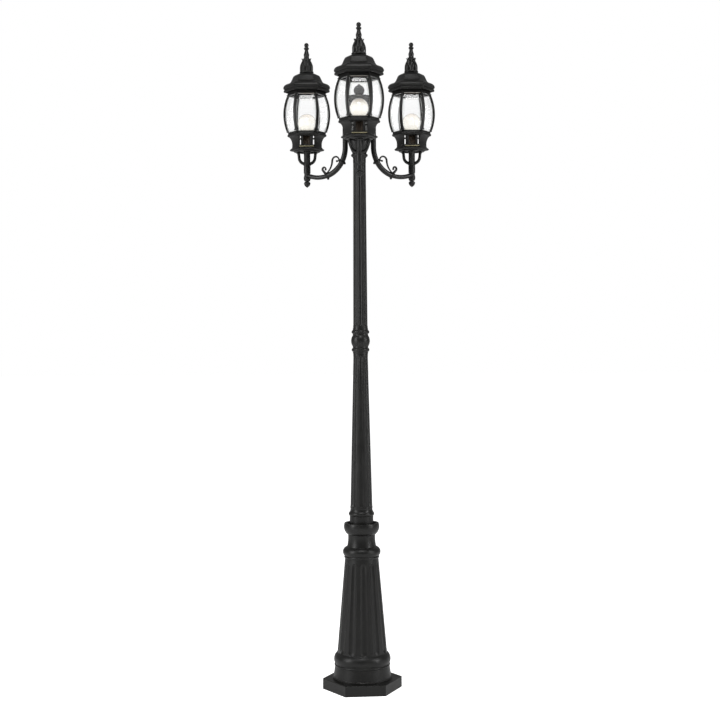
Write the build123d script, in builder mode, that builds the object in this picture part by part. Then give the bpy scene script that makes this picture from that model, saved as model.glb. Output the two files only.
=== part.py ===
from build123d import *
from math import cos, pi, radians, sin, sqrt
import os

# A garden lamp post with three lantern heads. The origin is on the post's axis at ground level,
# +Z is up and the front lantern hangs over -Y. Sizes are in millimetres.

# Base: hexagonal foot, round drum, fluted pedestal and the cup that the post stands in.
foot_radius = 136.0  # to the corners
foot_height = 36.0
foot_wall = 7.0
foot_roof = 8.0
foot_turn = 5.0  # the base stands turned a little against the arms
foot_edge = 2.0
plate_thickness = 8.0
plate_clearance = 0.4
anchor_circle = 160.0
anchor_count = 4
anchor_hole_radius = 6.5
cable_hole_radius = 22.0
lug_width = 24.0
lug_depth = 12.0
foot_screw_height = 19.0
foot_screw_radius = 3.0
foot_screw_turns = (30.0, 90.0, 150.0)  # on the three faces at the back
screw_head_share = 1.8  # a screw's head against its shank

drum_foot_radius = 98.8
drum_top_radius = 93.6
drum_height = 50.0
drum_wall = 6.0
drum_lip = 2.4
drum_lip_height = 4.0
drum_bead_height = 6.5
drum_bead_out = 2.2
locating_height = 3.0  # height of the rings and spigots that centre one casting on the next

ring_groove = 2.0
ring_out = 6.4  # rise of the ring's round face
ring_height = 35.0
cone_foot_radius = 85.2
cone_top_radius = 57.5
cone_height = 323.0
pedestal_wall = 11.0
pedestal_flutes = 12
pedestal_flute_share = 0.66  # width of a flute against the pitch
pedestal_flute_depth = 4.5
pedestal_flute_foot = 18.0  # from the cone's foot to the centre of the rounded end
pedestal_flute_top = 22.0
bead_height = 8.0
bead_out = 2.2
torus_radius = 64.5
torus_foot_radius = 58.2
torus_height = 31.0
torus_share = 0.38  # height of its widest place
neck_foot_radius = 50.0
neck_top_radius = 46.6
neck_height = 41.0
neck_hollow = 1.6

cup_radius = 60.5
cup_height = 40.0
cup_floor = 14.0
cup_wall = 10.5
cup_belly_share = 0.6
cup_belly_out = 3.0
cup_rim_out = 0.8
cup_edge = 2.0

# Post: two fluted sections with a coupling between them.
post_base_radius = 40.5
post_base_height = 50.0
post_bead_radius = 43.7
post_bead_height = 14.0
post_cove_height = 14.0
post_cove_hollow = 1.5
shaft_foot_radius = 38.3
shaft_joint_radius = 25.0
shaft_top_radius = 22.0
lower_shaft_height = 527.0
upper_shaft_height = 575.0
shaft_wall = 8.0
shaft_flutes = 8
shaft_flute_share = 0.62
shaft_flute_depth = 2.6
shaft_flute_inset = 10.0  # bare length at each end of a fluted stretch
coupling_bead_radius = 30.4
coupling_ball_radius = 32.1
coupling_neck_radius = 26.4
coupling_bead_height = 13.0
coupling_ball_height = 38.0
coupling_foot = 7.0  # plain collar below the lower bead and above the upper one
coupling_gap = 5.0  # between the ball and a bead
coupling_lip = 0.8
collar_foot_radius = 22.4
collar_bead_radius = 28.5
collar_top_radius = 24.0
collar_height = 25.0
collar_cove_share = 0.45
collar_bead_share = 0.9
collar_hollow = 1.2

# Pipe through the whole post, with a nut at each end, which clamps the castings together.
pipe_radius = 10.65
pipe_wall = 2.6
pipe_clearance = 0.35
pipe_foot_height = 12.0
pipe_past_nut = 4.0
washer_radius = 17.5
washer_thickness = 3.0
nut_across_flats = 30.0
nut_height = 10.0

# Hub that carries the three arms.
hub_floor = 8.0
bowl_height = 79.0
bowl_radius = 42.0
bowl_rim_radius = 44.0
bowl_rim_height = 8.0
bowl_wall = 5.0
bowl_out = 5.0
bowl_rim_slope = 1.5
bowl_seat_gap = 1.0  # below the hub's spigot
washer_gap = 1.5
bowl_lobes = 12
bowl_groove_radius = 2.0
hub_radius = 42.0
hub_height = 100.0
hub_wall = 4.5
hub_spigot = 6.0
bridge_width = 14.0
bridge_height = 8.0
bridge_drop = 22.0  # from the top of the hub down to the bridge
hub_screw_radius = 2.0
cap_radius = 44.5
cap_edge = 3.0
cap_height = 18.0
cap_out = 5.0
cap_step = 3.0  # flat ring round the finial's foot
hub_finial_ball = 19.0
hub_finial_neck = 7.7
hub_finial_knob = 5.6
hub_finial_foot = 3.0
hub_finial_step = 2.0
hub_stud_radius = 4.0

# Arms. The bend's centre lies outside the hub; the thin tail runs on to the lantern.
reach = 212.0  # from the post's axis to a lantern's
arm_radius = 9.2
tail_radius = 7.8
wire_radius = 3.6
arm_drop = 56.0  # from the post's axis to the arm's upright run
elbow_radius = 10.0
arm_root_height = 23.0  # above the bowl's rim
upright_length = 67.0
bend_radius = 98.0
bend_turn = 75.0
sweep_radius = 125.0
sweep_turn = 35.0
boss_radius = 13.0
boss_thickness = 12.0
spigot_radius = 6.0
spigot_length = 19.0
arm_nut_across_flats = 19.0
arm_nut_thickness = 6.0

# Scroll and the two clasps that hold it to an arm.
upper_clasp_turn = 30.6
lower_clasp_turn = 75.0
clasp_rise = 4.2
clasp_thickness = 9.0
clasp_edge = 2.0
clasp_clearance = 0.15
clasp_knob_radius = 4.0
clasp_knob_out = 1.5  # the knob's centre lies this far outside the clasp
scroll_radius = 2.5
volute_radius = 6.0
volute_turn = 140.0
arch_radius = 14.0
arch_turn = 147.0
fall_radius = 55.0
fall_turn = 50.0
volute_rise = 19.0  # the volute's tip, inside the arm's centre line
volute_lead = 5.4  # and this many degrees past the upper clasp
volute_heading = 200.0
hook_shank = 17.0
hook_heading = 47.0
hook_radius = 6.5
hook_turn = 233.0
hook_lead = 3.0  # degrees past the lower clasp

# Lantern, from the drop finial up.
sleeve_radius = 11.9
sleeve_waist_radius = 10.2
sleeve_foot_radius = 9.4
sleeve_height = 55.0
sleeve_ball_height = 20.0
sleeve_waist_height = 8.0
sleeve_groove = 1.2
sleeve_groove_width = 2.0
sleeve_out = 0.6
sleeve_centre_drop = 36.0  # from the sleeve's top to where the arm's tail comes in
tail_rise = 8.0  # from the bend's lowest point up to there
nipple_radius = 4.0
nipple_wall = 1.2
nipple_clearance = 0.15
drop_radius = 11.4
drop_belly_depth = 7.5  # from its top down to the widest place
drop_belly_out = 1.8
drop_shoulder_out = 1.2
drop_neck_radius = 6.4
drop_neck_height = 2.0
drop_tip_radius = 3.6
drop_tip_height = 2.5
drop_height = 23.0
drop_bore = 12.0  # depth of the nipple in the finial

cradle_height = 50.0
cradle_tube_radius = 11.4
cradle_base_radius = 13.4
cradle_base_height = 5.0
cradle_ring_radius = 46.0
cradle_ring_bore = 34.0
cradle_ring_height = 4.0
cradle_ribs = 4
cradle_rib_width = 12.0
cradle_rib_depth = 9.0
cradle_rib_round = 2.5
cradle_belly_radius = 22.0
cradle_belly_turn = 80.0
cradle_rise = 14.5
cradle_flare_radius = 15.0
cradle_flare_turn = 58.0

lower_flange_radius = 60.5
lower_flange_height = 13.0
gallery_neck_radius = 52.0
gallery_neck_height = 33.0
upper_flange_radius = 68.7
upper_flange_height = 20.0
gallery_wall = 4.0
gallery_floor = 5.0
gallery_corner = 1.6  # taken off the flange's corners
gallery_edge = 3.5
gallery_slope = 4.0
gallery_cove = 4.0
gallery_step = 3.0
gallery_slot_width = 5.5
gallery_slot_height = 31.0
gallery_slot_spread = 46.0
gallery_slot_rise = 38.5  # from the gallery's underside to the middle of a slot
gallery_slot_window = 7.5
gallery_window_width = 24.0
gallery_window_height = 30.0
gallery_window_rise = 41.0
ledge_inset = 4.0
ledge_share = 0.6

holder_radius = 19.0
holder_height = 42.0
holder_floor = 9.0
holder_rim = 2.0
bulb_base_radius = 13.1
bulb_base_height = 26.0
bulb_base_lift = 7.0  # from the holder's inner floor to the bulb's contact
bulb_clearance = 0.08
bulb_radius = 30.0
bulb_length = 110.0
bulb_neck_radius = 14.5
bulb_taper = 4.0  # height of the sloping edges of its base
bulb_shoulder_share = 0.82
bulb_neck_hollow = 1.5

rib_foot_radius = 70.2
rib_belly_radius = 82.2
rib_top_radius = 68.6
rib_width = 11.0
rib_depth = 10.0
belly_share = 0.52  # height of a rib's widest place
glass_height = 128.0  # from the gallery to the underside of the top ring
pane_thickness = 3.0
pane_setback = 3.5  # glass lies this far behind the ribs' faces
pane_clearance = 0.2
top_ring_radius = 68.0
top_ring_height = 22.0
top_ring_wall = 9.0

skirt_height = 17.0
skirt_overlap = 12.0  # the skirt hangs this far below the top of the ring
brim_radius = 81.0
brim_wall = 4.0
brim_reach = 15.0  # from the hood's foot out to the brim's round edge
brim_share = 0.75
brim_out = 2.0
hood_foot_radius = 56.5
hood_foot_height = 35.0  # above the skirt's lower edge
hood_hollow = 1.5
hood_top_radius = 47.5
hood_top_height = 55.0
shoulder_radius = 41.5
shoulder_height = 62.0
shoulder_out = 0.8
roof_top_radius = 26.0
roof_height = 69.0
roof_wall = 4.5
roof_screw_radius = 2.0
roof_screw_height = 6.0
roof_screw_clearance = 0.3

spire_base_radius = 24.4
spire_base_edge = 1.5
spire_base_height = 8.0
spire_base_out = 1.8
spire_onion_radius = 22.0
spire_onion_height = 43.0
spire_onion_out = 2.0
spire_ring_radius = 17.8
spire_ring_step = 3.5
spire_ring_height = 6.0
spire_ring_hollow = 0.6
spire_flare_height = 8.0
spire_flare_hollow = 1.6
spire_stem_radius = 8.5
spire_stem_height = 23.0
spire_stem_out = 0.8
spire_neck_radius = 6.2
spire_bead_height = 14.0
spire_bead_out = 3.6
spire_ball_radius = 8.0
spire_spigot_radius = 4.0
spire_spigot_length = 7.0

seat_clearance = 0.25  # radial, between a spigot and the bore that it centres in

# Heights of the joints between the pieces.
drum_z = foot_height
pedestal_z = drum_z + drum_height
cone_z = pedestal_z + ring_groove + ring_height
cone_top_z = cone_z + cone_height
torus_z = cone_top_z + bead_height
neck_z = torus_z + torus_height
cup_z = neck_z + neck_height
lower_post_z = cup_z + cup_floor
post_bead_z = lower_post_z + post_base_height
shaft_z = post_bead_z + post_bead_height + post_cove_height
coupling_z = shaft_z + lower_shaft_height
coupling_height = 2 * coupling_foot + 2 * coupling_bead_height + coupling_ball_height + 2 * coupling_gap
upper_post_z = coupling_z + coupling_height
collar_z = upper_post_z + upper_shaft_height
bowl_z = collar_z + collar_height
hub_z = bowl_z + bowl_height
cap_z = hub_z + hub_height
pipe_top_z = bowl_z + hub_floor + washer_thickness + nut_height + pipe_past_nut
arm_z = hub_z + arm_root_height
bend_x = arm_drop + bend_radius
bend_z = arm_z - elbow_radius - upright_length
tail_z = bend_z - bend_radius
sleeve_top_z = tail_z + tail_rise + sleeve_centre_drop
sleeve_z = sleeve_top_z - sleeve_height
cradle_z = sleeve_top_z
gallery_z = cradle_z + cradle_height
gallery_height = lower_flange_height + gallery_neck_height + upper_flange_height
frame_z = gallery_z + gallery_height
ring_z = frame_z + glass_height
ring_top_z = ring_z + top_ring_height
roof_z = ring_top_z - skirt_overlap
spire_z = roof_z + roof_height
holder_z = gallery_z + gallery_floor
bulb_z = holder_z + holder_floor + bulb_base_lift

pipe_bore = pipe_radius + pipe_clearance
nipple_bore = nipple_radius + nipple_clearance
flat = cos(radians(30))  # a hexagon's flats against its corners
side_turns = {"front": -90.0, "right": 30.0, "left": 150.0}
hex_turns = (0, 60, 120)
wide = 200.0  # longer than any piece of a lantern, for cuts that go right through

os.makedirs("parts", exist_ok=True)


def save(piece, name):
    piece.part.label = name
    export_step(piece.part, f"parts/{name}.step")


def bulge(start, end, out):
    """Arc between two points of an upward outline; a positive rise stands away from the axis."""
    return SagittaArc(start, end, -out)


def flute_cutter(foot_radius, top_radius, foot_z, top_z, foot_width, top_width, depth):
    """Tapered round-ended rod that cuts one flute of the given width and depth along a cone."""
    foot_rod = (foot_width**2 / 4 + depth**2) / (2 * depth)
    top_rod = (top_width**2 / 4 + depth**2) / (2 * depth)
    foot = Vector(foot_radius + foot_rod - depth, 0, foot_z)
    top = Vector(top_radius + top_rod - depth, 0, top_z)
    length = (top - foot).length
    with BuildPart(Plane(origin=foot, z_dir=top - foot)) as cutter:
        Cone(foot_rod, top_rod, length, align=(Align.CENTER, Align.CENTER, Align.MIN))
        Sphere(foot_rod)
        with Locations((0, 0, length)):
            Sphere(top_rod)
    return cutter.part


def flute_width(radius, count, share):
    return 2 * pi * radius / count * share


def at_height(height, foot_radius, top_radius, foot_z, top_z):
    """Radius of a cone at one height."""
    return foot_radius + (top_radius - foot_radius) * (height - foot_z) / (top_z - foot_z)


def height_on_ball(ball, radius):
    """Height above or below a ball's centre at which its section has the given radius."""
    return sqrt(ball**2 - radius**2)


def hexagonal(outline):
    """Six-sided solid: a half outline mirrored, run across three pairs of flats, and what they share."""
    with BuildPart() as body:
        for turn in hex_turns:
            with BuildSketch(Plane.XZ.rotated((0, 0, turn))):
                with BuildLine():
                    outline()
                    mirror(about=Plane.YZ)
                make_face()
            extrude(amount=wide / 2, both=True, mode=Mode.INTERSECT if turn else Mode.ADD)
    return body.part


def save_three(piece, name, radius, turned=True):
    """Write one copy of a piece for each of the three sides, with its own axis at the radius."""
    for side, turn in side_turns.items():
        spot = Vector(radius, 0, 0).rotate(Axis.Z, turn)
        with BuildPart() as placed:
            with Locations(Location(spot, (0, 0, turn if turned else 0))):
                add(piece.part)
        save(placed, f"{side}_{name}")


# ---- Base ----

foot_flat = foot_radius * flat - foot_wall  # from the axis to the inside of a face
plate_flat = foot_flat - plate_clearance
foot_screw_angles = [foot_turn + turn for turn in foot_screw_turns]
locating_radius = (
    at_height(drum_z + locating_height, drum_foot_radius, drum_top_radius, drum_z, pedestal_z - drum_wall)
    - drum_wall
    - seat_clearance
)

with BuildPart() as hex_foot:
    with BuildSketch():
        RegularPolygon(foot_radius, 6, rotation=foot_turn)
    extrude(amount=foot_height)
    fillet(hex_foot.edges().filter_by(Axis.Z), foot_edge)
    chamfer(hex_foot.faces().sort_by(Axis.Z)[-1].edges(), foot_edge / 2)
    with BuildSketch():
        RegularPolygon(foot_flat, 6, major_radius=False, rotation=foot_turn)
    extrude(amount=foot_height - foot_roof, mode=Mode.SUBTRACT)
    with BuildSketch(Plane.XY.offset(foot_height)):
        Circle(locating_radius)
        Circle(locating_radius - drum_wall, mode=Mode.SUBTRACT)
    extrude(amount=locating_height)
    with Locations((0, 0, foot_height)):
        Hole(pipe_bore)
    for angle in foot_screw_angles:
        with BuildSketch(Plane.XZ.rotated((0, 0, angle + 90)).offset(foot_flat - foot_wall)):
            with Locations((0, foot_screw_height)):
                Circle(foot_screw_radius + seat_clearance)
        extrude(amount=3 * foot_wall, mode=Mode.SUBTRACT)

with BuildPart() as anchor_plate:
    with BuildSketch():
        RegularPolygon(plate_flat, 6, major_radius=False, rotation=foot_turn)
        Circle(cable_hole_radius, mode=Mode.SUBTRACT)
        with PolarLocations(anchor_circle / 2, anchor_count, foot_turn):
            Circle(anchor_hole_radius, mode=Mode.SUBTRACT)
    extrude(amount=plate_thickness)
    for angle in foot_screw_angles:
        with BuildSketch(Plane.XY.offset(plate_thickness)):
            with PolarLocations(plate_flat - lug_depth / 2, 1, angle):
                Rectangle(lug_depth, lug_width)
        extrude(amount=foot_height - foot_roof - plate_thickness - foot_edge)
        with BuildSketch(Plane.XZ.rotated((0, 0, angle + 90)).offset(plate_flat - 2 * lug_depth)):
            with Locations((0, foot_screw_height)):
                Circle(foot_screw_radius + seat_clearance)
        extrude(amount=3 * lug_depth, mode=Mode.SUBTRACT)

with BuildPart() as foot_screws:
    for angle in foot_screw_angles:
        with BuildSketch(Plane.XZ.rotated((0, 0, angle + 90)).offset(foot_radius * flat)):
            with Locations((0, foot_screw_height)):
                Circle(screw_head_share * foot_screw_radius)
        extrude(amount=foot_screw_radius)
        with BuildSketch(Plane.XZ.rotated((0, 0, angle + 90)).offset(plate_flat - lug_depth)):
            with Locations((0, foot_screw_height)):
                Circle(foot_screw_radius)
        extrude(amount=foot_radius * flat - plate_flat + lug_depth)

pedestal_bore = cone_foot_radius - pedestal_wall
drum_bead_z = pedestal_z - drum_bead_height
with BuildPart() as base_drum:
    with BuildSketch(Plane.XZ):
        with BuildLine():
            Polyline(
                (drum_foot_radius - drum_wall, drum_z),
                (drum_foot_radius + drum_lip, drum_z),
                (drum_foot_radius + drum_lip, drum_z + drum_lip_height),
                (drum_foot_radius, drum_z + drum_lip_height + drum_lip),
                (drum_top_radius, drum_bead_z),
            )
            bulge((drum_top_radius, drum_bead_z), (drum_top_radius, pedestal_z), drum_bead_out)
            Polyline(
                (drum_top_radius, pedestal_z),
                (pedestal_bore, pedestal_z),
                (pedestal_bore, pedestal_z - drum_wall),
                (drum_top_radius - drum_wall, pedestal_z - drum_wall),
                (drum_foot_radius - drum_wall, drum_z),
            )
        make_face()
    revolve(axis=Axis.Z)

with BuildPart() as pedestal:
    with BuildSketch(Plane.XZ):
        with BuildLine():
            Polyline(
                (pedestal_bore, pedestal_z),
                (drum_top_radius, pedestal_z),
                (drum_top_radius, pedestal_z + ring_groove),
            )
            bulge(
                (drum_top_radius, pedestal_z + ring_groove),
                (cone_foot_radius + ring_groove, cone_z),
                ring_out,
            )
            Polyline(
                (cone_foot_radius + ring_groove, cone_z),
                (cone_foot_radius, cone_z + ring_groove),
                (cone_top_radius, cone_top_z),
            )
            bulge((cone_top_radius, cone_top_z), (torus_foot_radius, torus_z), bead_out)
            ThreePointArc(
                (torus_foot_radius, torus_z),
                (torus_radius, torus_z + torus_share * torus_height),
                (neck_foot_radius, neck_z),
            )
            bulge((neck_foot_radius, neck_z), (neck_top_radius, cup_z), -neck_hollow)
            Polyline(
                (neck_top_radius, cup_z),
                (neck_top_radius - drum_wall, cup_z),
                (neck_top_radius - drum_wall, neck_z),
                (cone_top_radius - pedestal_wall, cone_top_z - pedestal_wall),
                (pedestal_bore, cone_z),
                (pedestal_bore, pedestal_z),
            )
        make_face()
    revolve(axis=Axis.Z)
    flute_foot_z = cone_z + pedestal_flute_foot
    flute_top_z = cone_top_z - pedestal_flute_top
    flute_foot_radius = at_height(flute_foot_z, cone_foot_radius, cone_top_radius, cone_z, cone_top_z)
    flute_top_radius = at_height(flute_top_z, cone_foot_radius, cone_top_radius, cone_z, cone_top_z)
    with PolarLocations(0, pedestal_flutes, foot_turn):
        add(
            flute_cutter(
                flute_foot_radius,
                flute_top_radius,
                flute_foot_z,
                flute_top_z,
                flute_width(flute_foot_radius, pedestal_flutes, pedestal_flute_share),
                flute_width(flute_top_radius, pedestal_flutes, pedestal_flute_share),
                pedestal_flute_depth,
            ),
            mode=Mode.SUBTRACT,
        )

cup_belly_z = cup_z + cup_belly_share * cup_height
cup_top_z = cup_z + cup_height
with BuildPart() as pedestal_collar:
    with BuildSketch(Plane.XZ):
        with BuildLine():
            Line((pipe_bore, cup_z), (neck_top_radius, cup_z))
            bulge((neck_top_radius, cup_z), (cup_radius, cup_belly_z), cup_belly_out)
            bulge((cup_radius, cup_belly_z), (cup_radius - cup_edge, cup_top_z), cup_rim_out)
            Polyline(
                (cup_radius - cup_edge, cup_top_z),
                (cup_radius - cup_wall + cup_edge, cup_top_z),
                (cup_radius - cup_wall, cup_top_z - cup_edge),
                (cup_radius - cup_wall, lower_post_z),
                (pipe_bore, lower_post_z),
                (pipe_bore, cup_z),
            )
        make_face()
    revolve(axis=Axis.Z)
    with BuildSketch(Plane.XY.offset(cup_z)):
        Circle(neck_top_radius - drum_wall - seat_clearance)
        Circle(neck_top_radius - 2 * drum_wall, mode=Mode.SUBTRACT)
    extrude(amount=-locating_height)

# ---- Post ----


def shaft_flute(foot_radius, top_radius, foot_z, top_z):
    """Cutter for one flute of a post section that tapers between two radii."""
    start = foot_z + shaft_flute_inset + shaft_flute_depth
    stop = top_z - shaft_flute_inset - shaft_flute_depth
    start_radius = at_height(start, foot_radius, top_radius, foot_z, top_z)
    stop_radius = at_height(stop, foot_radius, top_radius, foot_z, top_z)
    return flute_cutter(
        start_radius,
        stop_radius,
        start,
        stop,
        flute_width(start_radius, shaft_flutes, shaft_flute_share),
        flute_width(stop_radius, shaft_flutes, shaft_flute_share),
        shaft_flute_depth,
    )


with BuildPart() as lower_post:
    with BuildSketch(Plane.XZ):
        with BuildLine():
            Polyline(
                (post_base_radius - shaft_wall, lower_post_z),
                (post_base_radius, lower_post_z),
                (post_base_radius, post_bead_z),
            )
            bulge(
                (post_base_radius, post_bead_z),
                (post_base_radius, post_bead_z + post_bead_height),
                post_bead_radius - post_base_radius,
            )
            bulge(
                (post_base_radius, post_bead_z + post_bead_height),
                (shaft_foot_radius, shaft_z),
                -post_cove_hollow,
            )
            Polyline(
                (shaft_foot_radius, shaft_z),
                (shaft_joint_radius, coupling_z),
                (shaft_joint_radius - shaft_wall, coupling_z),
                (post_base_radius - shaft_wall, lower_post_z),
            )
        make_face()
    revolve(axis=Axis.Z)
    with PolarLocations(0, shaft_flutes):
        add(shaft_flute(shaft_foot_radius, shaft_joint_radius, shaft_z, coupling_z), mode=Mode.SUBTRACT)

joint_spigot = (
    at_height(upper_post_z + locating_height, shaft_joint_radius, shaft_top_radius, upper_post_z, collar_z)
    - shaft_wall
    - seat_clearance
)
coupling_bead_z = coupling_z + coupling_foot
coupling_ball_z = coupling_bead_z + coupling_bead_height + coupling_gap
coupling_top_bead_z = coupling_ball_z + coupling_ball_height + coupling_gap
coupling_top_z = coupling_top_bead_z + coupling_bead_height
with BuildPart() as post_coupling:
    with BuildSketch(Plane.XZ):
        with BuildLine():
            Polyline(
                (pipe_bore, coupling_z),
                (shaft_joint_radius + coupling_lip, coupling_z),
                (coupling_neck_radius, coupling_bead_z),
            )
            bulge(
                (coupling_neck_radius, coupling_bead_z),
                (coupling_neck_radius, coupling_bead_z + coupling_bead_height),
                coupling_bead_radius - coupling_neck_radius,
            )
            Line(
                (coupling_neck_radius, coupling_bead_z + coupling_bead_height),
                (coupling_neck_radius, coupling_ball_z),
            )
            bulge(
                (coupling_neck_radius, coupling_ball_z),
                (coupling_neck_radius, coupling_ball_z + coupling_ball_height),
                coupling_ball_radius - coupling_neck_radius,
            )
            Line(
                (coupling_neck_radius, coupling_ball_z + coupling_ball_height),
                (coupling_neck_radius, coupling_top_bead_z),
            )
            bulge(
                (coupling_neck_radius, coupling_top_bead_z),
                (coupling_neck_radius, coupling_top_z),
                coupling_bead_radius - coupling_neck_radius,
            )
            Polyline(
                (coupling_neck_radius, coupling_top_z),
                (shaft_joint_radius + coupling_lip, upper_post_z),
                (pipe_bore, upper_post_z),
                (pipe_bore, coupling_z),
            )
        make_face()
    revolve(axis=Axis.Z)
    for height, rise in ((coupling_z, -locating_height), (upper_post_z, locating_height)):
        with BuildSketch(Plane.XY.offset(height)):
            Circle(joint_spigot)
            Circle(pipe_bore, mode=Mode.SUBTRACT)
        extrude(amount=rise)

with BuildPart() as upper_post:
    with BuildSketch(Plane.XZ):
        with BuildLine():
            Polyline(
                (shaft_joint_radius - shaft_wall, upper_post_z),
                (shaft_joint_radius, upper_post_z),
                (shaft_top_radius, collar_z),
                (shaft_top_radius - shaft_wall, collar_z),
                close=True,
            )
        make_face()
    revolve(axis=Axis.Z)
    with PolarLocations(0, shaft_flutes):
        add(shaft_flute(shaft_joint_radius, shaft_top_radius, upper_post_z, collar_z), mode=Mode.SUBTRACT)

collar_cove_z = collar_z + collar_cove_share * collar_height
collar_bead_z = collar_z + collar_bead_share * collar_height
with BuildPart() as top_collar:
    with BuildSketch(Plane.XZ):
        with BuildLine():
            Line((pipe_bore, collar_z), (collar_foot_radius, collar_z))
            bulge((collar_foot_radius, collar_z), (collar_top_radius, collar_cove_z), -collar_hollow)
            bulge(
                (collar_top_radius, collar_cove_z),
                (collar_top_radius, collar_bead_z),
                collar_bead_radius - collar_top_radius,
            )
            Polyline(
                (collar_top_radius, collar_bead_z),
                (collar_top_radius, bowl_z),
                (pipe_bore, bowl_z),
                (pipe_bore, collar_z),
            )
        make_face()
    revolve(axis=Axis.Z)
    with BuildSketch(Plane.XY.offset(collar_z)):
        Circle(shaft_top_radius - shaft_wall - seat_clearance)
        Circle(pipe_bore, mode=Mode.SUBTRACT)
    extrude(amount=-locating_height)

# ---- Pipe and its nuts ----

with BuildPart() as post_pipe:
    with BuildSketch(Plane.XY.offset(pipe_foot_height)):
        Circle(pipe_radius)
        Circle(pipe_radius - pipe_wall, mode=Mode.SUBTRACT)
    extrude(amount=pipe_top_z - pipe_foot_height)

foot_washer_z = foot_height - foot_roof - washer_thickness
hub_washer_z = bowl_z + hub_floor
with BuildPart() as pipe_washers:
    for height in (foot_washer_z, hub_washer_z):
        with BuildSketch(Plane.XY.offset(height)):
            Circle(washer_radius)
            Circle(pipe_bore, mode=Mode.SUBTRACT)
        extrude(amount=washer_thickness)

with BuildPart() as pipe_nuts:
    for height in (foot_washer_z - nut_height, hub_washer_z + washer_thickness):
        with BuildSketch(Plane.XY.offset(height)):
            RegularPolygon(nut_across_flats / 2, 6, major_radius=False)
            Circle(pipe_radius + pipe_clearance / 3, mode=Mode.SUBTRACT)
        extrude(amount=nut_height)

# ---- Hub ----

hub_screw_turns = (90.0, 210.0, 330.0)  # between the arms
hub_screw_z = hub_z - hub_spigot / 2
bowl_foot_radius = collar_top_radius
bowl_bore = bowl_radius - bowl_wall
bowl_curve_top = hub_z - bowl_rim_height
with BuildPart() as hub_bowl:
    with BuildSketch(Plane.XZ):
        with BuildLine():
            Line((pipe_bore, bowl_z), (bowl_foot_radius, bowl_z))
            bowl_curve = bulge((bowl_foot_radius, bowl_z), (bowl_radius, bowl_curve_top), bowl_out)
            Polyline(
                (bowl_radius, bowl_curve_top),
                (bowl_rim_radius, bowl_curve_top + bowl_rim_slope),
                (bowl_rim_radius, hub_z),
                (bowl_bore, hub_z),
                (bowl_bore, hub_z - hub_spigot - bowl_seat_gap),
                (washer_radius + washer_gap, bowl_z + hub_floor),
                (pipe_bore, bowl_z + hub_floor),
                (pipe_bore, bowl_z),
            )
        make_face()
    revolve(axis=Axis.Z)
    bowl_centre = bowl_curve.arc_center
    bowl_curve_radius = bowl_curve.radius
    for lobe in range(bowl_lobes):
        turn = (lobe + 0.5) * 360 / bowl_lobes
        spot = Vector(bowl_centre.X, 0, bowl_centre.Y).rotate(Axis.Z, turn)
        with Locations(Location(spot, (90, 0, turn))):
            Torus(bowl_curve_radius, bowl_groove_radius, mode=Mode.SUBTRACT)
    for turn in hub_screw_turns:
        with BuildSketch(Plane.YZ.rotated((0, 0, turn)).offset(bowl_bore / 2)):
            with Locations((0, hub_screw_z)):
                Circle(hub_screw_radius + seat_clearance)
        extrude(amount=bowl_bore, mode=Mode.SUBTRACT)

spigot_outer = bowl_bore - seat_clearance
bridge_z = cap_z - bridge_drop
boss_face = hub_radius + boss_thickness / 3
boss_back = boss_face - boss_thickness
with BuildPart() as hub_body:
    with BuildSketch(Plane.XY.offset(hub_z)):
        Circle(hub_radius)
    extrude(amount=hub_height)
    with BuildSketch(Plane.XY.offset(hub_z)):
        Circle(hub_radius - hub_wall)
    extrude(amount=hub_height, mode=Mode.SUBTRACT)
    for turn in side_turns.values():
        with BuildSketch(Plane.YZ.rotated((0, 0, turn)).offset(boss_back)):
            with Locations((0, arm_z)):
                Circle(boss_radius)
        extrude(amount=boss_thickness)
        with BuildSketch(Plane.YZ.rotated((0, 0, turn)).offset(boss_back)):
            with Locations((0, arm_z)):
                Circle(spigot_radius + seat_clearance)
        extrude(amount=boss_thickness, mode=Mode.SUBTRACT)
    with BuildSketch(Plane.XY.offset(bridge_z)):
        Rectangle(2 * hub_radius - hub_wall, bridge_width)
        Circle(hub_stud_radius + seat_clearance, mode=Mode.SUBTRACT)
    extrude(amount=bridge_height)
    with BuildSketch(Plane.XY.offset(hub_z)):
        Circle(spigot_outer)
        Circle(spigot_outer - hub_wall, mode=Mode.SUBTRACT)
    extrude(amount=-hub_spigot)
    with BuildSketch(Plane.XY.offset(hub_z)):
        Circle(hub_radius)
        Circle(spigot_outer - hub_wall, mode=Mode.SUBTRACT)
    extrude(amount=hub_wall)
    for turn in hub_screw_turns:
        with BuildSketch(Plane.YZ.rotated((0, 0, turn)).offset(spigot_outer - 2 * hub_wall)):
            with Locations((0, hub_screw_z)):
                Circle(hub_screw_radius + seat_clearance)
        extrude(amount=2 * hub_wall, mode=Mode.SUBTRACT)

with BuildPart() as hub_screws:
    for turn in hub_screw_turns:
        with BuildSketch(Plane.YZ.rotated((0, 0, turn)).offset(spigot_outer - hub_wall)):
            with Locations((0, hub_screw_z)):
                Circle(hub_screw_radius)
        extrude(amount=bowl_rim_radius - spigot_outer + hub_wall)
        with BuildSketch(Plane.YZ.rotated((0, 0, turn)).offset(bowl_rim_radius)):
            with Locations((0, hub_screw_z)):
                Circle(screw_head_share * hub_screw_radius)
        extrude(amount=hub_screw_radius)

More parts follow.
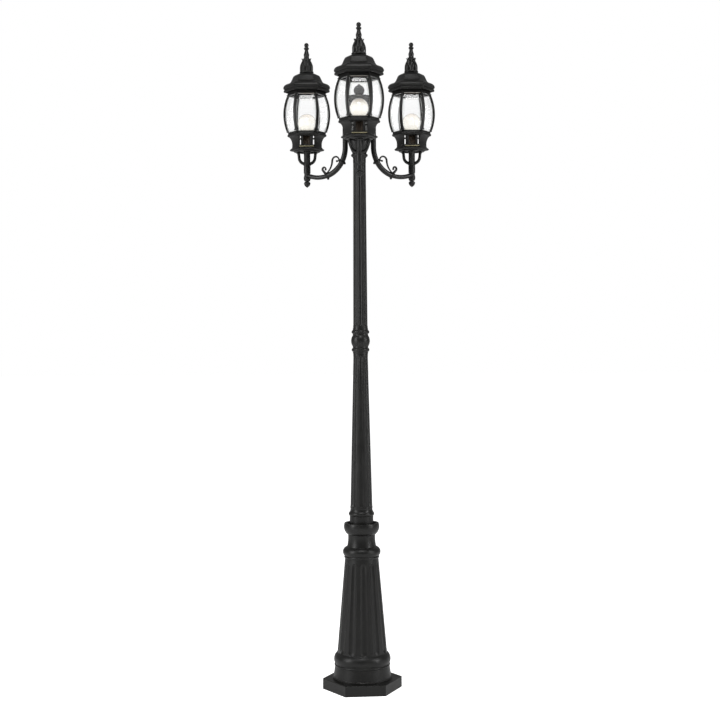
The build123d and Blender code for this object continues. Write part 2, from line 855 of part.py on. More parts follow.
with BuildPart() as hub_cap:
    with BuildSketch(Plane.XZ):
        with BuildLine():
            Polyline(
                (hub_stud_radius + seat_clearance, cap_z),
                (cap_radius, cap_z),
                (cap_radius, cap_z + cap_edge),
            )
            bulge((cap_radius, cap_z + cap_edge), (hub_finial_neck + cap_step, cap_z + cap_height), cap_out)
            Polyline(
                (hub_finial_neck + cap_step, cap_z + cap_height),
                (hub_stud_radius + seat_clearance, cap_z + cap_height),
                (hub_stud_radius + seat_clearance, cap_z),
            )
        make_face()
    revolve(axis=Axis.Z)
    with BuildSketch(Plane.XY.offset(cap_z)):
        Circle(hub_radius - hub_wall - seat_clearance)
        Circle(hub_radius - 2 * hub_wall, mode=Mode.SUBTRACT)
    extrude(amount=-locating_height)

hub_finial_z = cap_z + cap_height
hub_neck_z = hub_finial_z + hub_finial_foot
hub_ball_z = hub_neck_z + height_on_ball(hub_finial_ball, hub_finial_neck)
hub_pinch_z = hub_ball_z + height_on_ball(hub_finial_ball, hub_finial_knob / 2)
hub_knob_z = hub_pinch_z + height_on_ball(hub_finial_knob, hub_finial_knob / 2)
with BuildPart() as hub_finial:
    with BuildSketch(Plane.XZ):
        with BuildLine():
            Polyline(
                (0, bridge_z),
                (hub_stud_radius, bridge_z),
                (hub_stud_radius, hub_finial_z),
                (hub_finial_neck + hub_finial_step, hub_finial_z),
                (hub_finial_neck, hub_neck_z),
            )
            ThreePointArc(
                (hub_finial_neck, hub_neck_z),
                (hub_finial_ball, hub_ball_z),
                (hub_finial_knob / 2, hub_pinch_z),
            )
            ThreePointArc(
                (hub_finial_knob / 2, hub_pinch_z),
                (hub_finial_knob, hub_knob_z),
                (0, hub_knob_z + hub_finial_knob),
            )
            Line((0, hub_knob_z + hub_finial_knob), (0, bridge_z))
        make_face()
    revolve(axis=Axis.Z)

# ---- Arms, drawn along +X and then turned to their sides ----


def arm_bar(upper_radius, lower_radius, mode=Mode.ADD):
    """Round bar along the arm's line: elbow, upright, bend, and the thinner tail to the lantern."""
    with BuildLine(Plane.XZ) as upper_line:
        elbow = JernArc((boss_face, arm_z), (1, 0), elbow_radius, -90)
        upright = Line(elbow @ 1, (arm_drop, bend_z))
        JernArc(upright @ 1, (0, -1), bend_radius, bend_turn)
    with BuildSketch(Plane(origin=(boss_face, 0, arm_z), z_dir=(1, 0, 0))) as upper_section:
        Circle(upper_radius)
    sweep(upper_section.sketch, path=upper_line.wires()[0], mode=mode)
    heading = bend_turn - 90
    with BuildLine(Plane.XZ) as lower_line:
        onward = (cos(radians(heading)), sin(radians(heading)))
        JernArc(arm_point(bend_turn, 0), onward, sweep_radius, sweep_turn)
    lower_wire = lower_line.wires()[0]
    with BuildSketch(Plane(origin=lower_wire @ 0, z_dir=lower_wire % 0)) as lower_section:
        Circle(lower_radius)
    sweep(lower_section.sketch, path=lower_wire, mode=mode)


def arm_point(turn, rise):
    """Point beside the arm's bend, a turn round it from the upright and a rise inside its centre line."""
    return (
        bend_x - (bend_radius - rise) * cos(radians(turn)),
        bend_z - (bend_radius - rise) * sin(radians(turn)),
    )


lantern_axis = Axis((reach, 0, 0), (0, 0, 1))
sleeve_ball_top = sleeve_z + sleeve_ball_height
sleeve_waist_top = sleeve_ball_top + sleeve_waist_height
with BuildPart() as arm:
    arm_bar(arm_radius, tail_radius)
    with BuildSketch(Plane.YZ.offset(boss_face)):
        with Locations((0, arm_z)):
            Circle(spigot_radius)
    extrude(amount=-spigot_length)
    with BuildSketch(Plane.XZ):
        with BuildLine():
            Line((reach, sleeve_z), (reach + sleeve_foot_radius, sleeve_z))
            bulge(
                (reach + sleeve_foot_radius, sleeve_z),
                (reach + sleeve_waist_radius, sleeve_ball_top),
                sleeve_radius - sleeve_waist_radius + sleeve_out,
            )
            Polyline(
                (reach + sleeve_waist_radius, sleeve_ball_top),
                (reach + sleeve_waist_radius, sleeve_waist_top - sleeve_groove_width),
                (reach + sleeve_radius, sleeve_waist_top),
                (reach + sleeve_radius, sleeve_top_z - 2 * sleeve_groove_width),
                (reach + sleeve_radius - sleeve_groove, sleeve_top_z - 1.5 * sleeve_groove_width),
                (reach + sleeve_radius, sleeve_top_z - sleeve_groove_width),
                (reach + sleeve_radius, sleeve_top_z),
                (reach, sleeve_top_z),
                (reach, sleeve_z),
            )
        make_face()
    revolve(axis=lantern_axis)
    arm_bar(wire_radius, wire_radius, Mode.SUBTRACT)
    with BuildSketch(Plane.YZ.offset(boss_face)):
        with Locations((0, arm_z)):
            Circle(wire_radius)
    extrude(amount=-spigot_length, mode=Mode.SUBTRACT)
    with BuildSketch(Plane.XY.offset(sleeve_z)):
        with Locations((reach, 0)):
            Circle(nipple_bore)
    extrude(amount=sleeve_height, mode=Mode.SUBTRACT)

with BuildPart() as arm_nuts:
    for turn in side_turns.values():
        with BuildSketch(Plane.YZ.rotated((0, 0, turn)).offset(boss_back)):
            with Locations((0, arm_z)):
                RegularPolygon(arm_nut_across_flats / 2, 6, major_radius=False)
                Circle(spigot_radius + seat_clearance / 2, mode=Mode.SUBTRACT)
        extrude(amount=-arm_nut_thickness)

with BuildPart() as arm_scroll:
    for turn, bar_radius in ((upper_clasp_turn, arm_radius), (lower_clasp_turn, tail_radius)):
        spot = arm_point(turn, 0)
        along = Vector(sin(radians(turn)), 0, -cos(radians(turn)))
        with BuildSketch(Plane(origin=(spot[0], 0, spot[1]), z_dir=along)):
            Circle(bar_radius + clasp_rise)
        extrude(amount=clasp_thickness / 2, both=True)
    fillet(arm_scroll.edges().filter_by(GeomType.CIRCLE), clasp_edge)
    for turn, bar_radius in ((upper_clasp_turn, arm_radius), (lower_clasp_turn, tail_radius)):
        spot = arm_point(turn, -bar_radius - clasp_rise - clasp_knob_out)
        with Locations((spot[0], 0, spot[1])):
            Sphere(clasp_knob_radius)
    with BuildLine(Plane.XZ) as scroll_line:
        start = arm_point(upper_clasp_turn + volute_lead, volute_rise)
        heading = radians(volute_heading)
        volute = JernArc(start, (cos(heading), sin(heading)), volute_radius, -volute_turn)
        arch = JernArc(volute @ 1, volute % 1, arch_radius, -arch_turn)
        JernArc(arch @ 1, arch % 1, fall_radius, fall_turn)
    scroll_wire = scroll_line.wires()[0]
    with BuildSketch(Plane(origin=scroll_wire @ 0, z_dir=scroll_wire % 0)):
        Circle(scroll_radius)
    sweep(path=scroll_wire)
    with BuildLine(Plane.XZ) as hook_line:
        start = arm_point(lower_clasp_turn + hook_lead, tail_radius)
        shank = PolarLine(start, hook_shank, hook_heading)
        JernArc(shank @ 1, shank % 1, hook_radius, hook_turn)
    hook_wire = hook_line.wires()[0]
    with BuildSketch(Plane(origin=hook_wire @ 0, z_dir=hook_wire % 0)):
        Circle(scroll_radius)
    sweep(path=hook_wire)
    arm_bar(arm_radius + clasp_clearance, tail_radius + clasp_clearance, Mode.SUBTRACT)

# ---- Lantern, drawn about the Z axis and then set out at the end of each arm ----

nipple_foot = sleeve_z - drop_bore
with BuildPart() as nipple:
    with BuildSketch(Plane.XY.offset(nipple_foot)):
        Circle(nipple_radius)
        Circle(nipple_radius - nipple_wall, mode=Mode.SUBTRACT)
    extrude(amount=holder_z + holder_floor - nipple_foot)

drop_belly = (drop_radius, sleeve_z - drop_belly_depth)
drop_tip = (drop_tip_radius, sleeve_z - drop_height + drop_tip_height)
drop_neck = (drop_neck_radius, sleeve_z - drop_neck_height)
with BuildPart() as drop_finial:
    with BuildSketch(Plane.XZ):
        with BuildLine():
            Polyline((0, sleeve_z), (0, sleeve_z - drop_height), drop_tip)
            bulge(drop_tip, drop_belly, drop_belly_out)
            bulge(drop_belly, drop_neck, drop_shoulder_out)
            Polyline(drop_neck, (drop_neck_radius, sleeve_z), (0, sleeve_z))
        make_face()
    revolve(axis=Axis.Z)
    with BuildSketch(Plane.XY.offset(nipple_foot)):
        Circle(nipple_bore)
    extrude(amount=sleeve_z - nipple_foot, mode=Mode.SUBTRACT)

with BuildPart() as cradle:
    with BuildSketch(Plane.XY.offset(cradle_z)):
        Circle(cradle_tube_radius)
    extrude(amount=cradle_height)
    with BuildSketch(Plane.XY.offset(cradle_z)):
        Circle(cradle_base_radius)
    extrude(amount=cradle_base_height)
    with BuildSketch(Plane.XY.offset(gallery_z)):
        Circle(cradle_ring_radius)
        Circle(cradle_ring_bore, mode=Mode.SUBTRACT)
    extrude(amount=-cradle_ring_height)
    with BuildLine(Plane.XZ) as rib_line:
        belly = JernArc(
            (cradle_tube_radius / 2, cradle_z + cradle_rib_depth / 2),
            (1, 0),
            cradle_belly_radius,
            cradle_belly_turn,
        )
        rise = PolarLine(belly @ 1, cradle_rise, cradle_belly_turn)
        JernArc(rise @ 1, rise % 1, cradle_flare_radius, -cradle_flare_turn)
    with BuildSketch(Plane.YZ.offset(cradle_tube_radius / 2)):
        with Locations((0, cradle_z + cradle_rib_depth / 2)):
            RectangleRounded(cradle_rib_width, cradle_rib_depth, cradle_rib_round)
    sweep(path=rib_line.wires()[0])
    split(bisect_by=Plane.XY.offset(gallery_z), keep=Keep.BOTTOM)
    rib_part = cradle.part
    with PolarLocations(0, cradle_ribs - 1, 360 / cradle_ribs, 360 - 360 / cradle_ribs):
        add(rib_part)
    with BuildSketch(Plane.XY.offset(cradle_z)):
        Circle(nipple_bore)
    extrude(amount=cradle_height, mode=Mode.SUBTRACT)


def gallery_outline():
    """Half outline of the gallery across the flats: two flanges with a waisted neck between them."""
    neck_foot_z = gallery_z + lower_flange_height
    neck_top_z = neck_foot_z + gallery_neck_height
    cove_flat = flat * gallery_neck_radius + gallery_cove
    Polyline(
        (0, gallery_z),
        (flat * lower_flange_radius - gallery_edge, gallery_z),
        (flat * lower_flange_radius, gallery_z + gallery_edge),
        (flat * lower_flange_radius, neck_foot_z - gallery_slope),
        (cove_flat, neck_foot_z),
    )
    bulge((cove_flat, neck_foot_z), (cove_flat, neck_top_z), -gallery_cove)
    Polyline(
        (cove_flat, neck_top_z),
        (flat * upper_flange_radius - gallery_step, neck_top_z + gallery_step),
        (flat * upper_flange_radius, neck_top_z + 2 * gallery_step),
        (flat * upper_flange_radius, frame_z),
        (0, frame_z),
    )


gallery_floor_z = gallery_z + gallery_floor
ledge_flat = flat * (rib_foot_radius - rib_depth) - ledge_inset
with BuildPart() as gallery:
    add(hexagonal(gallery_outline))
    with BuildSketch(Plane.XY.offset(gallery_z)):
        Circle(upper_flange_radius - gallery_corner)
    extrude(amount=gallery_height, mode=Mode.INTERSECT)
    with BuildSketch(Plane.XY.offset(gallery_floor_z)):
        RegularPolygon(flat * gallery_neck_radius - gallery_wall, 6, major_radius=False, rotation=30)
    extrude(amount=gallery_height, mode=Mode.SUBTRACT)
    with BuildSketch(Plane.XY.offset(frame_z - ledge_share * upper_flange_height)):
        RegularPolygon(ledge_flat, 6, major_radius=False, rotation=30)
    extrude(amount=upper_flange_height, mode=Mode.SUBTRACT)
    with BuildSketch(Plane.XY.offset(gallery_z)):
        Circle(nipple_bore)
    extrude(amount=gallery_floor, mode=Mode.SUBTRACT)
    for turn in hex_turns:
        with BuildSketch(Plane.YZ.rotated((0, 0, turn))):
            with GridLocations(gallery_slot_spread, 1, 2, 1):
                with Locations((0, gallery_z + gallery_slot_rise)):
                    Rectangle(gallery_slot_width, gallery_slot_height)
                with Locations((0, gallery_z + gallery_window_rise + gallery_step)):
                    Rectangle(gallery_slot_window, gallery_slot_window)
            with Locations((0, gallery_z + gallery_window_rise)):
                Rectangle(gallery_window_width, gallery_window_height)
        extrude(amount=wide, both=True, mode=Mode.SUBTRACT)

holder_bore = bulb_base_radius + bulb_clearance
with BuildPart() as lampholder:
    with BuildSketch(Plane.XZ):
        with BuildLine():
            Polyline(
                (nipple_bore, holder_z),
                (holder_radius - 2 * holder_rim, holder_z),
                (holder_radius - holder_rim, holder_z + 2 * holder_rim),
                (holder_radius - holder_rim, holder_z + holder_height - 2 * holder_rim),
                (holder_radius, holder_z + holder_height - 1.5 * holder_rim),
                (holder_radius, holder_z + holder_height),
                (holder_bore, holder_z + holder_height),
                (holder_bore, holder_z + holder_floor),
                (nipple_bore, holder_z + holder_floor),
                close=True,
            )
        make_face()
    revolve(axis=Axis.Z)

bulb_neck_z = bulb_z + bulb_base_height
bulb_top_z = bulb_z + bulb_length
bulb_shoulder_radius = bulb_shoulder_share * bulb_radius
bulb_shoulder = (
    bulb_shoulder_radius,
    bulb_top_z - bulb_radius - height_on_ball(bulb_radius, bulb_shoulder_radius),
)
with BuildPart() as bulb:
    with BuildSketch(Plane.XZ):
        with BuildLine():
            Polyline(
                (0, bulb_z),
                (bulb_base_radius / 2, bulb_z),
                (bulb_base_radius, bulb_z + bulb_taper),
                (bulb_base_radius, bulb_neck_z),
                (bulb_neck_radius, bulb_neck_z + bulb_taper),
            )
            bulge((bulb_neck_radius, bulb_neck_z + bulb_taper), bulb_shoulder, -bulb_neck_hollow)
            ThreePointArc(bulb_shoulder, (bulb_radius, bulb_top_z - bulb_radius), (0, bulb_top_z))
            Line((0, bulb_top_z), (0, bulb_z))
        make_face()
    revolve(axis=Axis.Z)

ring_bore_flat = flat * top_ring_radius - top_ring_wall


def bowed_edge(depth, scale):
    """Upward outline of the barrel-shaped lantern side, a depth inside the ribs' faces."""
    foot = (scale * rib_foot_radius - depth, frame_z)
    top = (scale * rib_top_radius - depth, ring_z)
    belly = scale * rib_belly_radius - depth
    ThreePointArc(foot, (belly, frame_z + belly_share * glass_height), top)


with BuildPart() as frame:
    add(
        hexagonal(
            lambda: Polyline(
                (0, ring_z),
                (flat * top_ring_radius, ring_z),
                (flat * top_ring_radius, ring_top_z),
                (0, ring_top_z),
            )
        )
    )
    with BuildSketch(Plane.XY.offset(ring_z)):
        RegularPolygon(ring_bore_flat, 6, major_radius=False, rotation=30)
    extrude(amount=top_ring_height, mode=Mode.SUBTRACT)
    for rib in range(6):
        with BuildSketch(Plane.XZ.rotated((0, 0, 30 + 60 * rib))):
            with BuildLine():
                bowed_edge(0, 1)
                Line((rib_top_radius, ring_z), (rib_top_radius - rib_depth, ring_z))
                bowed_edge(rib_depth, 1)
                Line((rib_foot_radius - rib_depth, frame_z), (rib_foot_radius, frame_z))
            make_face()
        extrude(amount=rib_width / 2, both=True)


def pane_outline(depth):
    """Half outline of the barrel that the glass lies in, a depth inside the ribs' faces."""
    bowed_edge(depth, flat)
    Polyline(
        (flat * rib_top_radius - depth, ring_z),
        (0, ring_z),
        (0, frame_z),
        (flat * rib_foot_radius - depth, frame_z),
    )


with BuildPart() as glass_panes:
    add(hexagonal(lambda: pane_outline(pane_setback)))
    add(hexagonal(lambda: pane_outline(pane_setback + pane_thickness)), mode=Mode.SUBTRACT)
    for turn in hex_turns:
        with BuildSketch(Plane.XZ.rotated((0, 0, 30 + turn))):
            with Locations((0, (frame_z + ring_z) / 2)):
                Rectangle(wide, wide)
        extrude(amount=rib_width / 2 + pane_clearance, both=True, mode=Mode.SUBTRACT)

skirt_flat = flat * brim_radius


def roof_outline():
    """Half outline of the roof across the flats: upright skirt, rounded brim, hood and flat top."""
    skirt_top = (skirt_flat, roof_z + skirt_height)
    brim_top = (flat * hood_foot_radius + brim_reach, roof_z + brim_share * hood_foot_height)
    hood_foot = (flat * hood_foot_radius, roof_z + hood_foot_height)
    hood_top = (flat * hood_top_radius, roof_z + hood_top_height)
    shoulder = (flat * shoulder_radius, roof_z + shoulder_height)
    Polyline((0, roof_z), (skirt_flat, roof_z), skirt_top)
    bulge(skirt_top, brim_top, brim_out)
    bulge(brim_top, hood_foot, -hood_hollow)
    Line(hood_foot, hood_top)
    bulge(hood_top, shoulder, shoulder_out)
    Polyline(shoulder, (flat * roof_top_radius, spire_z), (0, spire_z))


def roof_cavity_outline():
    """Half outline of the hollow above the seat on the ring."""
    Polyline(
        (0, ring_top_z),
        (ring_bore_flat, ring_top_z),
        (ring_bore_flat, ring_top_z + roof_wall),
        (flat * hood_foot_radius - roof_wall, roof_z + hood_foot_height - roof_wall),
        (flat * hood_top_radius - roof_wall, roof_z + hood_top_height - roof_wall),
        (0, spire_z - 2 * roof_wall),
    )


with BuildPart() as roof:
    add(hexagonal(roof_outline))
    with BuildSketch(Plane.XY.offset(roof_z)):
        RegularPolygon(skirt_flat - brim_wall, 6, major_radius=False, rotation=30)
    extrude(amount=skirt_overlap, mode=Mode.SUBTRACT)
    add(hexagonal(roof_cavity_outline), mode=Mode.SUBTRACT)
    with Locations((0, 0, spire_z)):
        Hole(spire_spigot_radius + seat_clearance, depth=3 * roof_wall)
    for turn in (0, 120, 240):
        with BuildSketch(Plane.YZ.rotated((0, 0, turn)).offset(flat * top_ring_radius)):
            with Locations((0, roof_z + roof_screw_height)):
                Circle(roof_screw_radius + seat_clearance)
        extrude(amount=wide / 2, mode=Mode.SUBTRACT)

screw_tip = flat * top_ring_radius + roof_screw_clearance
with BuildPart() as roof_screws:
    for turn in (0, 120, 240):
        with BuildSketch(Plane.YZ.rotated((0, 0, turn)).offset(skirt_flat)):
            with Locations((0, roof_z + roof_screw_height)):
                Circle(screw_head_share * roof_screw_radius)
        extrude(amount=roof_screw_radius)
        with BuildSketch(Plane.YZ.rotated((0, 0, turn)).offset(screw_tip)):
            with Locations((0, roof_z + roof_screw_height)):
                Circle(roof_screw_radius)
        extrude(amount=skirt_flat - screw_tip)

spire_foot_top_z = spire_z + spire_base_height
onion_top_z = spire_z + spire_onion_height
spire_ring_z = onion_top_z + spire_ring_height
spire_stem_z = spire_ring_z + spire_flare_height
spire_neck_z = spire_stem_z + spire_stem_height
spire_bead_z = spire_neck_z + spire_bead_height
spire_ball_z = spire_bead_z + height_on_ball(spire_ball_radius, spire_neck_radius)
spire_top_z = spire_ball_z + spire_ball_radius
with BuildPart() as spire:
    with BuildSketch(Plane.XZ):
        with BuildLine():
            Polyline(
                (0, spire_z - spire_spigot_length),
                (spire_spigot_radius, spire_z - spire_spigot_length),
                (spire_spigot_radius, spire_z),
                (spire_base_radius - spire_base_edge, spire_z),
            )
            bulge(
                (spire_base_radius - spire_base_edge, spire_z),
                (spire_onion_radius, spire_foot_top_z),
                spire_base_out,
            )
            bulge(
                (spire_onion_radius, spire_foot_top_z),
                (spire_ring_radius - spire_ring_step, onion_top_z),
                spire_onion_out,
            )
            bulge(
                (spire_ring_radius - spire_ring_step, onion_top_z),
                (spire_ring_radius, spire_ring_z),
                -spire_ring_hollow,
            )
            bulge((spire_ring_radius, spire_ring_z), (spire_stem_radius, spire_stem_z), -spire_flare_hollow)
            bulge((spire_stem_radius, spire_stem_z), (spire_neck_radius, spire_neck_z), spire_stem_out)
            bulge((spire_neck_radius, spire_neck_z), (spire_neck_radius, spire_bead_z), spire_bead_out)
            ThreePointArc(
                (spire_neck_radius, spire_bead_z),
                (spire_ball_radius, spire_ball_z),
                (0, spire_top_z),
            )
            Line((0, spire_top_z), (0, spire_z - spire_spigot_length))
        make_face()
    revolve(axis=Axis.Z)

# ---- Files, one for each piece ----

save(anchor_plate, "anchor_plate")
save(foot_screws, "foot_screws")
save(hex_foot, "hex_foot")
save(base_drum, "base_drum")
save(pedestal, "pedestal")
save(pedestal_collar, "pedestal_collar")
save(lower_post, "lower_post")
save(post_coupling, "post_coupling")
save(upper_post, "upper_post")
save(top_collar, "top_collar")
save(post_pipe, "post_pipe")
save(pipe_washers, "pipe_washers")
save(pipe_nuts, "pipe_nuts")
save(hub_bowl, "hub_bowl")
save(hub_body, "hub_body")
save(hub_screws, "hub_screws")
save(hub_cap, "hub_cap")
save(hub_finial, "hub_finial")
save(arm_nuts, "arm_nuts")

save_three(arm, "arm", 0)
save_three(arm_scroll, "arm_scroll", 0)
save_three(nipple, "nipple", reach)
save_three(drop_finial, "drop_finial", reach)
save_three(cradle, "cradle", reach, turned=False)
save_three(gallery, "gallery", reach)
save_three(lampholder, "lampholder", reach)
save_three(bulb, "bulb", reach)
save_three(frame, "lantern_frame", reach)
save_three(glass_panes, "glass_panes", reach)
save_three(roof, "roof", reach)
save_three(roof_screws, "roof_screws", reach)
save_three(spire, "spire", reach)
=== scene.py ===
import math

import bpy
from mathutils import Matrix, Vector


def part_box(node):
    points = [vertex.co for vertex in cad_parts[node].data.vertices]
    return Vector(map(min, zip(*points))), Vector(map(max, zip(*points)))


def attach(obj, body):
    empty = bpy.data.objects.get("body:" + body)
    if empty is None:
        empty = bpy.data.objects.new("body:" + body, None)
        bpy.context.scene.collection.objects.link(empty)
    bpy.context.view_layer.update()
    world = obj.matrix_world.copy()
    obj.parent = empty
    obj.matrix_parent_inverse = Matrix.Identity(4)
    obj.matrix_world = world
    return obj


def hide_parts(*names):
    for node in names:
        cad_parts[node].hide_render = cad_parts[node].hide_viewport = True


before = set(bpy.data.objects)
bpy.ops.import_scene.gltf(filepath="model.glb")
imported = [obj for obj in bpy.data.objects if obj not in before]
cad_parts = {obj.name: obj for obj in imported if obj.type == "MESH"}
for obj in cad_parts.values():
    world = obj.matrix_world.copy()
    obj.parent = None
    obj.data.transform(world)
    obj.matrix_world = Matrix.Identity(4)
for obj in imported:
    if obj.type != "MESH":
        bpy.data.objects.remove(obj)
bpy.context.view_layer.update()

mm = 0.001
sides = {"front": -90, "right": 30, "left": 150}  # each arm's turn round the post, in degrees
flat = math.cos(math.radians(30))  # a hexagon's flats against its corners
castAngle = math.radians(32)  # edges sharper than this stay crisp
mergeGap = 0.01 * mm  # points nearer than this become one
arcStep = math.radians(9)  # to a segment where an outline bows
bendStep = 8  # degrees to a segment where a bar bends


# heights and places that the frame gives, in millimetres
def footOf(node):
    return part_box(node)[0].z / mm


def topOf(node):
    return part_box(node)[1].z / mm


def sideOf(node):
    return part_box(node)[1].x / mm


def middleOf(node):
    low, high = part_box(node)
    return (low + high) / 2


reach = -middleOf("front_spire").y / mm
galleryFoot = footOf("front_gallery")
glassFoot = topOf("front_gallery")
glassTop = topOf("front_glass_panes")
ringTop = topOf("front_lantern_frame")
roofFoot = footOf("front_roof")
roofTop = topOf("front_roof")
spireTop = topOf("front_spire")
sleeveTop = footOf("front_cradle")
bulbFoot = footOf("front_bulb")
bulbRadius = 32.0  # the front bulb fills its window, so it is a little over the solid's
bulbCentre = topOf("front_bulb") - bulbRadius


def deselectAll():
    if bpy.context.mode != "OBJECT":
        bpy.ops.object.mode_set(mode="OBJECT")
    bpy.ops.object.select_all(action="DESELECT")


def pick(piece):
    deselectAll()
    piece.select_set(True)
    bpy.context.view_layer.objects.active = piece


def editAll(piece):
    pick(piece)
    bpy.ops.object.mode_set(mode="EDIT")
    bpy.ops.mesh.select_all(action="SELECT")


def tidyMesh(piece):
    editAll(piece)
    bpy.ops.mesh.remove_doubles(threshold=mergeGap)
    bpy.ops.mesh.dissolve_degenerate(threshold=mergeGap)
    bpy.ops.mesh.select_all(action="SELECT")
    bpy.ops.mesh.normals_make_consistent(inside=False)
    bpy.ops.object.mode_set(mode="OBJECT")
    return piece


def settle(piece):
    pick(piece)
    bpy.ops.object.transform_apply(location=True, rotation=True, scale=True)
    return piece


def applyAll(piece):
    pick(piece)
    for modifier in list(piece.modifiers):
        bpy.ops.object.modifier_apply(modifier=modifier.name)
    return piece


def soften(piece, width, angle=30):
    bevel = piece.modifiers.new("softEdges", "BEVEL")
    bevel.width = width * mm
    bevel.segments = 2
    bevel.limit_method = "ANGLE"
    bevel.angle_limit = math.radians(angle)
    return applyAll(piece)


def thicken(piece, thickness, offset, even=False):
    wall = piece.modifiers.new("wall", "SOLIDIFY")
    wall.thickness = thickness * mm
    wall.offset = offset
    wall.use_even_offset = even
    return applyAll(piece)


def smoothen(piece, angle=castAngle):
    pick(piece)
    bpy.ops.object.shade_smooth_by_angle(angle=angle)
    return piece


def cutBy(piece, cutter):
    cut = piece.modifiers.new("cut", "BOOLEAN")
    cut.operation = "DIFFERENCE"
    cut.solver = "EXACT"
    cut.object = cutter
    applyAll(piece)
    bpy.data.objects.remove(cutter)
    return piece


def joinAll(pieces, name):
    deselectAll()
    for piece in pieces:
        piece.select_set(True)
    bpy.context.view_layer.objects.active = pieces[0]
    bpy.ops.object.join()
    pieces[0].name = name
    return pieces[0]


def copyOf(piece, name, turn=0.0, place=(0, 0, 0)):
    pick(piece)
    bpy.ops.object.duplicate(linked=False)
    copy = bpy.context.object
    copy.name = name
    copy.rotation_euler.z = math.radians(turn)
    copy.location = Vector(place) * mm
    return settle(copy)


# copies of one piece evenly round the Z axis, joined
def aroundAxis(piece, count, name, first=0.0):
    copies = [copyOf(piece, name, first + 360 * index / count) for index in range(1, count)]
    piece.rotation_euler.z = math.radians(first)
    settle(piece)
    return joinAll([piece] + copies, name)


# points of a round stretch; a positive rise stands out from the axis on the way up
def arcPoints(start, end, rise):
    first, last = Vector(start), Vector(end)
    chord = last - first
    half = 2 * math.atan(2 * abs(rise) / chord.length)
    radius = chord.length / (2 * math.sin(half))
    along = chord.normalized()
    out = Vector((along.y, -along.x)) * (1 if rise > 0 else -1)
    middle = (first + last) / 2
    steps = max(3, math.ceil(2 * half / arcStep))
    points = []
    for step in range(1, steps + 1):
        angle = -half + 2 * half * step / steps
        point = middle + along * radius * math.sin(angle) + out * radius * (math.cos(angle) - math.cos(half))
        points.append((point.x, point.y))
    return points


# an outline from (radius, rise over the foot) points; a third value is how far the stretch bows out
def drawOutline(stretches, foot=0.0):
    points = []
    for radius, rise, *bow in stretches:
        end = (radius, foot + rise)
        points += arcPoints(points[-1], end, bow[0]) if bow else [end]
    return points


# the outline as a line of points beside the axis, ready to spin or extrude
def drawProfile(name, outline):
    deselectAll()
    radius, height = outline[0]
    bpy.ops.mesh.primitive_plane_add(size=mm, location=(radius * mm, 0, height * mm))
    piece = bpy.context.object
    piece.name = name
    settle(piece)
    editAll(piece)
    bpy.ops.mesh.merge(type="CENTER")
    for nextRadius, nextHeight in outline[1:]:
        step = ((nextRadius - radius) * mm, 0, (nextHeight - height) * mm)
        bpy.ops.mesh.extrude_vertices_move(TRANSFORM_OT_translate={"value": step})
        radius, height = nextRadius, nextHeight
    bpy.ops.mesh.select_all(action="SELECT")
    return piece


# a piece turned on the Z axis; with six segments it is a hexagon with a corner on +X
def turned(name, outline, segments=96):
    piece = drawProfile(name, outline)
    bpy.ops.mesh.spin(steps=segments, angle=2 * math.pi, center=(0, 0, 0), axis=(0, 0, 1))
    return tidyMesh(piece)


# a six-sided piece from an outline across its flats, with a facet facing +X
def hexagonal(name, outline):
    piece = turned(name, [(radius / flat, height) for radius, height in outline], 6)
    piece.rotation_euler.z = math.radians(30)
    return settle(piece)


# a block with soft edges, its size and place in millimetres
def makeBlock(name, size, spot, edge):
    deselectAll()
    bpy.ops.mesh.primitive_cube_add(size=mm, location=[step * mm for step in spot])
    block = bpy.context.object
    block.name = name
    block.scale = size
    settle(block)
    return soften(block, edge) if edge else block


# a bar in the XZ plane; moves are ("run", length, size) or ("bend", radius, turn, size)
def bentBar(name, radius, corners, start, heading, moves, width=1.0):
    def inPlane(point):
        return (point.x * mm, 0, point.y * mm)

    def resizeBy(grow):
        if grow != 1.0:
            bpy.ops.transform.resize(value=(grow,) * 3, center_override=inPlane(place))

    deselectAll()
    place = Vector(start)
    tilt = math.radians(90 - heading)
    bpy.ops.mesh.primitive_circle_add(
        vertices=corners, radius=radius * mm, fill_type="NGON", location=inPlane(place), rotation=(0, tilt, 0)
    )
    piece = bpy.context.object
    piece.name = name
    settle(piece)
    editAll(piece)
    if width != 1.0:
        bpy.ops.transform.resize(value=(1, width, 1), center_override=inPlane(place))
    size = 1.0
    for kind, *move, nextSize in moves:
        angle = math.radians(heading)
        ahead = Vector((math.cos(angle), math.sin(angle)))
        if kind == "run":
            step = ahead * move[0]
            place = place + step
            bpy.ops.mesh.extrude_region_move(TRANSFORM_OT_translate={"value": inPlane(step)})
            resizeBy(nextSize / size)
        else:
            bendRadius, turn = move
            left = Vector((-ahead.y, ahead.x)) * (1 if turn > 0 else -1)
            centre = place + left * bendRadius
            steps = max(2, math.ceil(abs(turn) / bendStep))
            for step in range(steps):
                part = math.radians(turn / steps)
                bpy.ops.mesh.spin(steps=1, angle=part, center=inPlane(centre), axis=(0, 1, 0))
                arm = place - centre
                arm.rotate(Matrix.Rotation(part, 2))
                place = centre + arm
                resizeBy((nextSize / size) ** (1 / steps))
            heading += turn
        size = nextSize
    return tidyMesh(piece)


def nodeGroup(name, inputs, outputs):
    group = bpy.data.node_groups.new(name, "ShaderNodeTree")
    for label, kind, value in inputs:
        socket = group.interface.new_socket(label, in_out="INPUT", socket_type=kind)
        socket.default_value = value
    for label, kind in outputs:
        group.interface.new_socket(label, in_out="OUTPUT", socket_type=kind)
    return group, group.nodes.new("NodeGroupInput").outputs, group.nodes.new("NodeGroupOutput").inputs


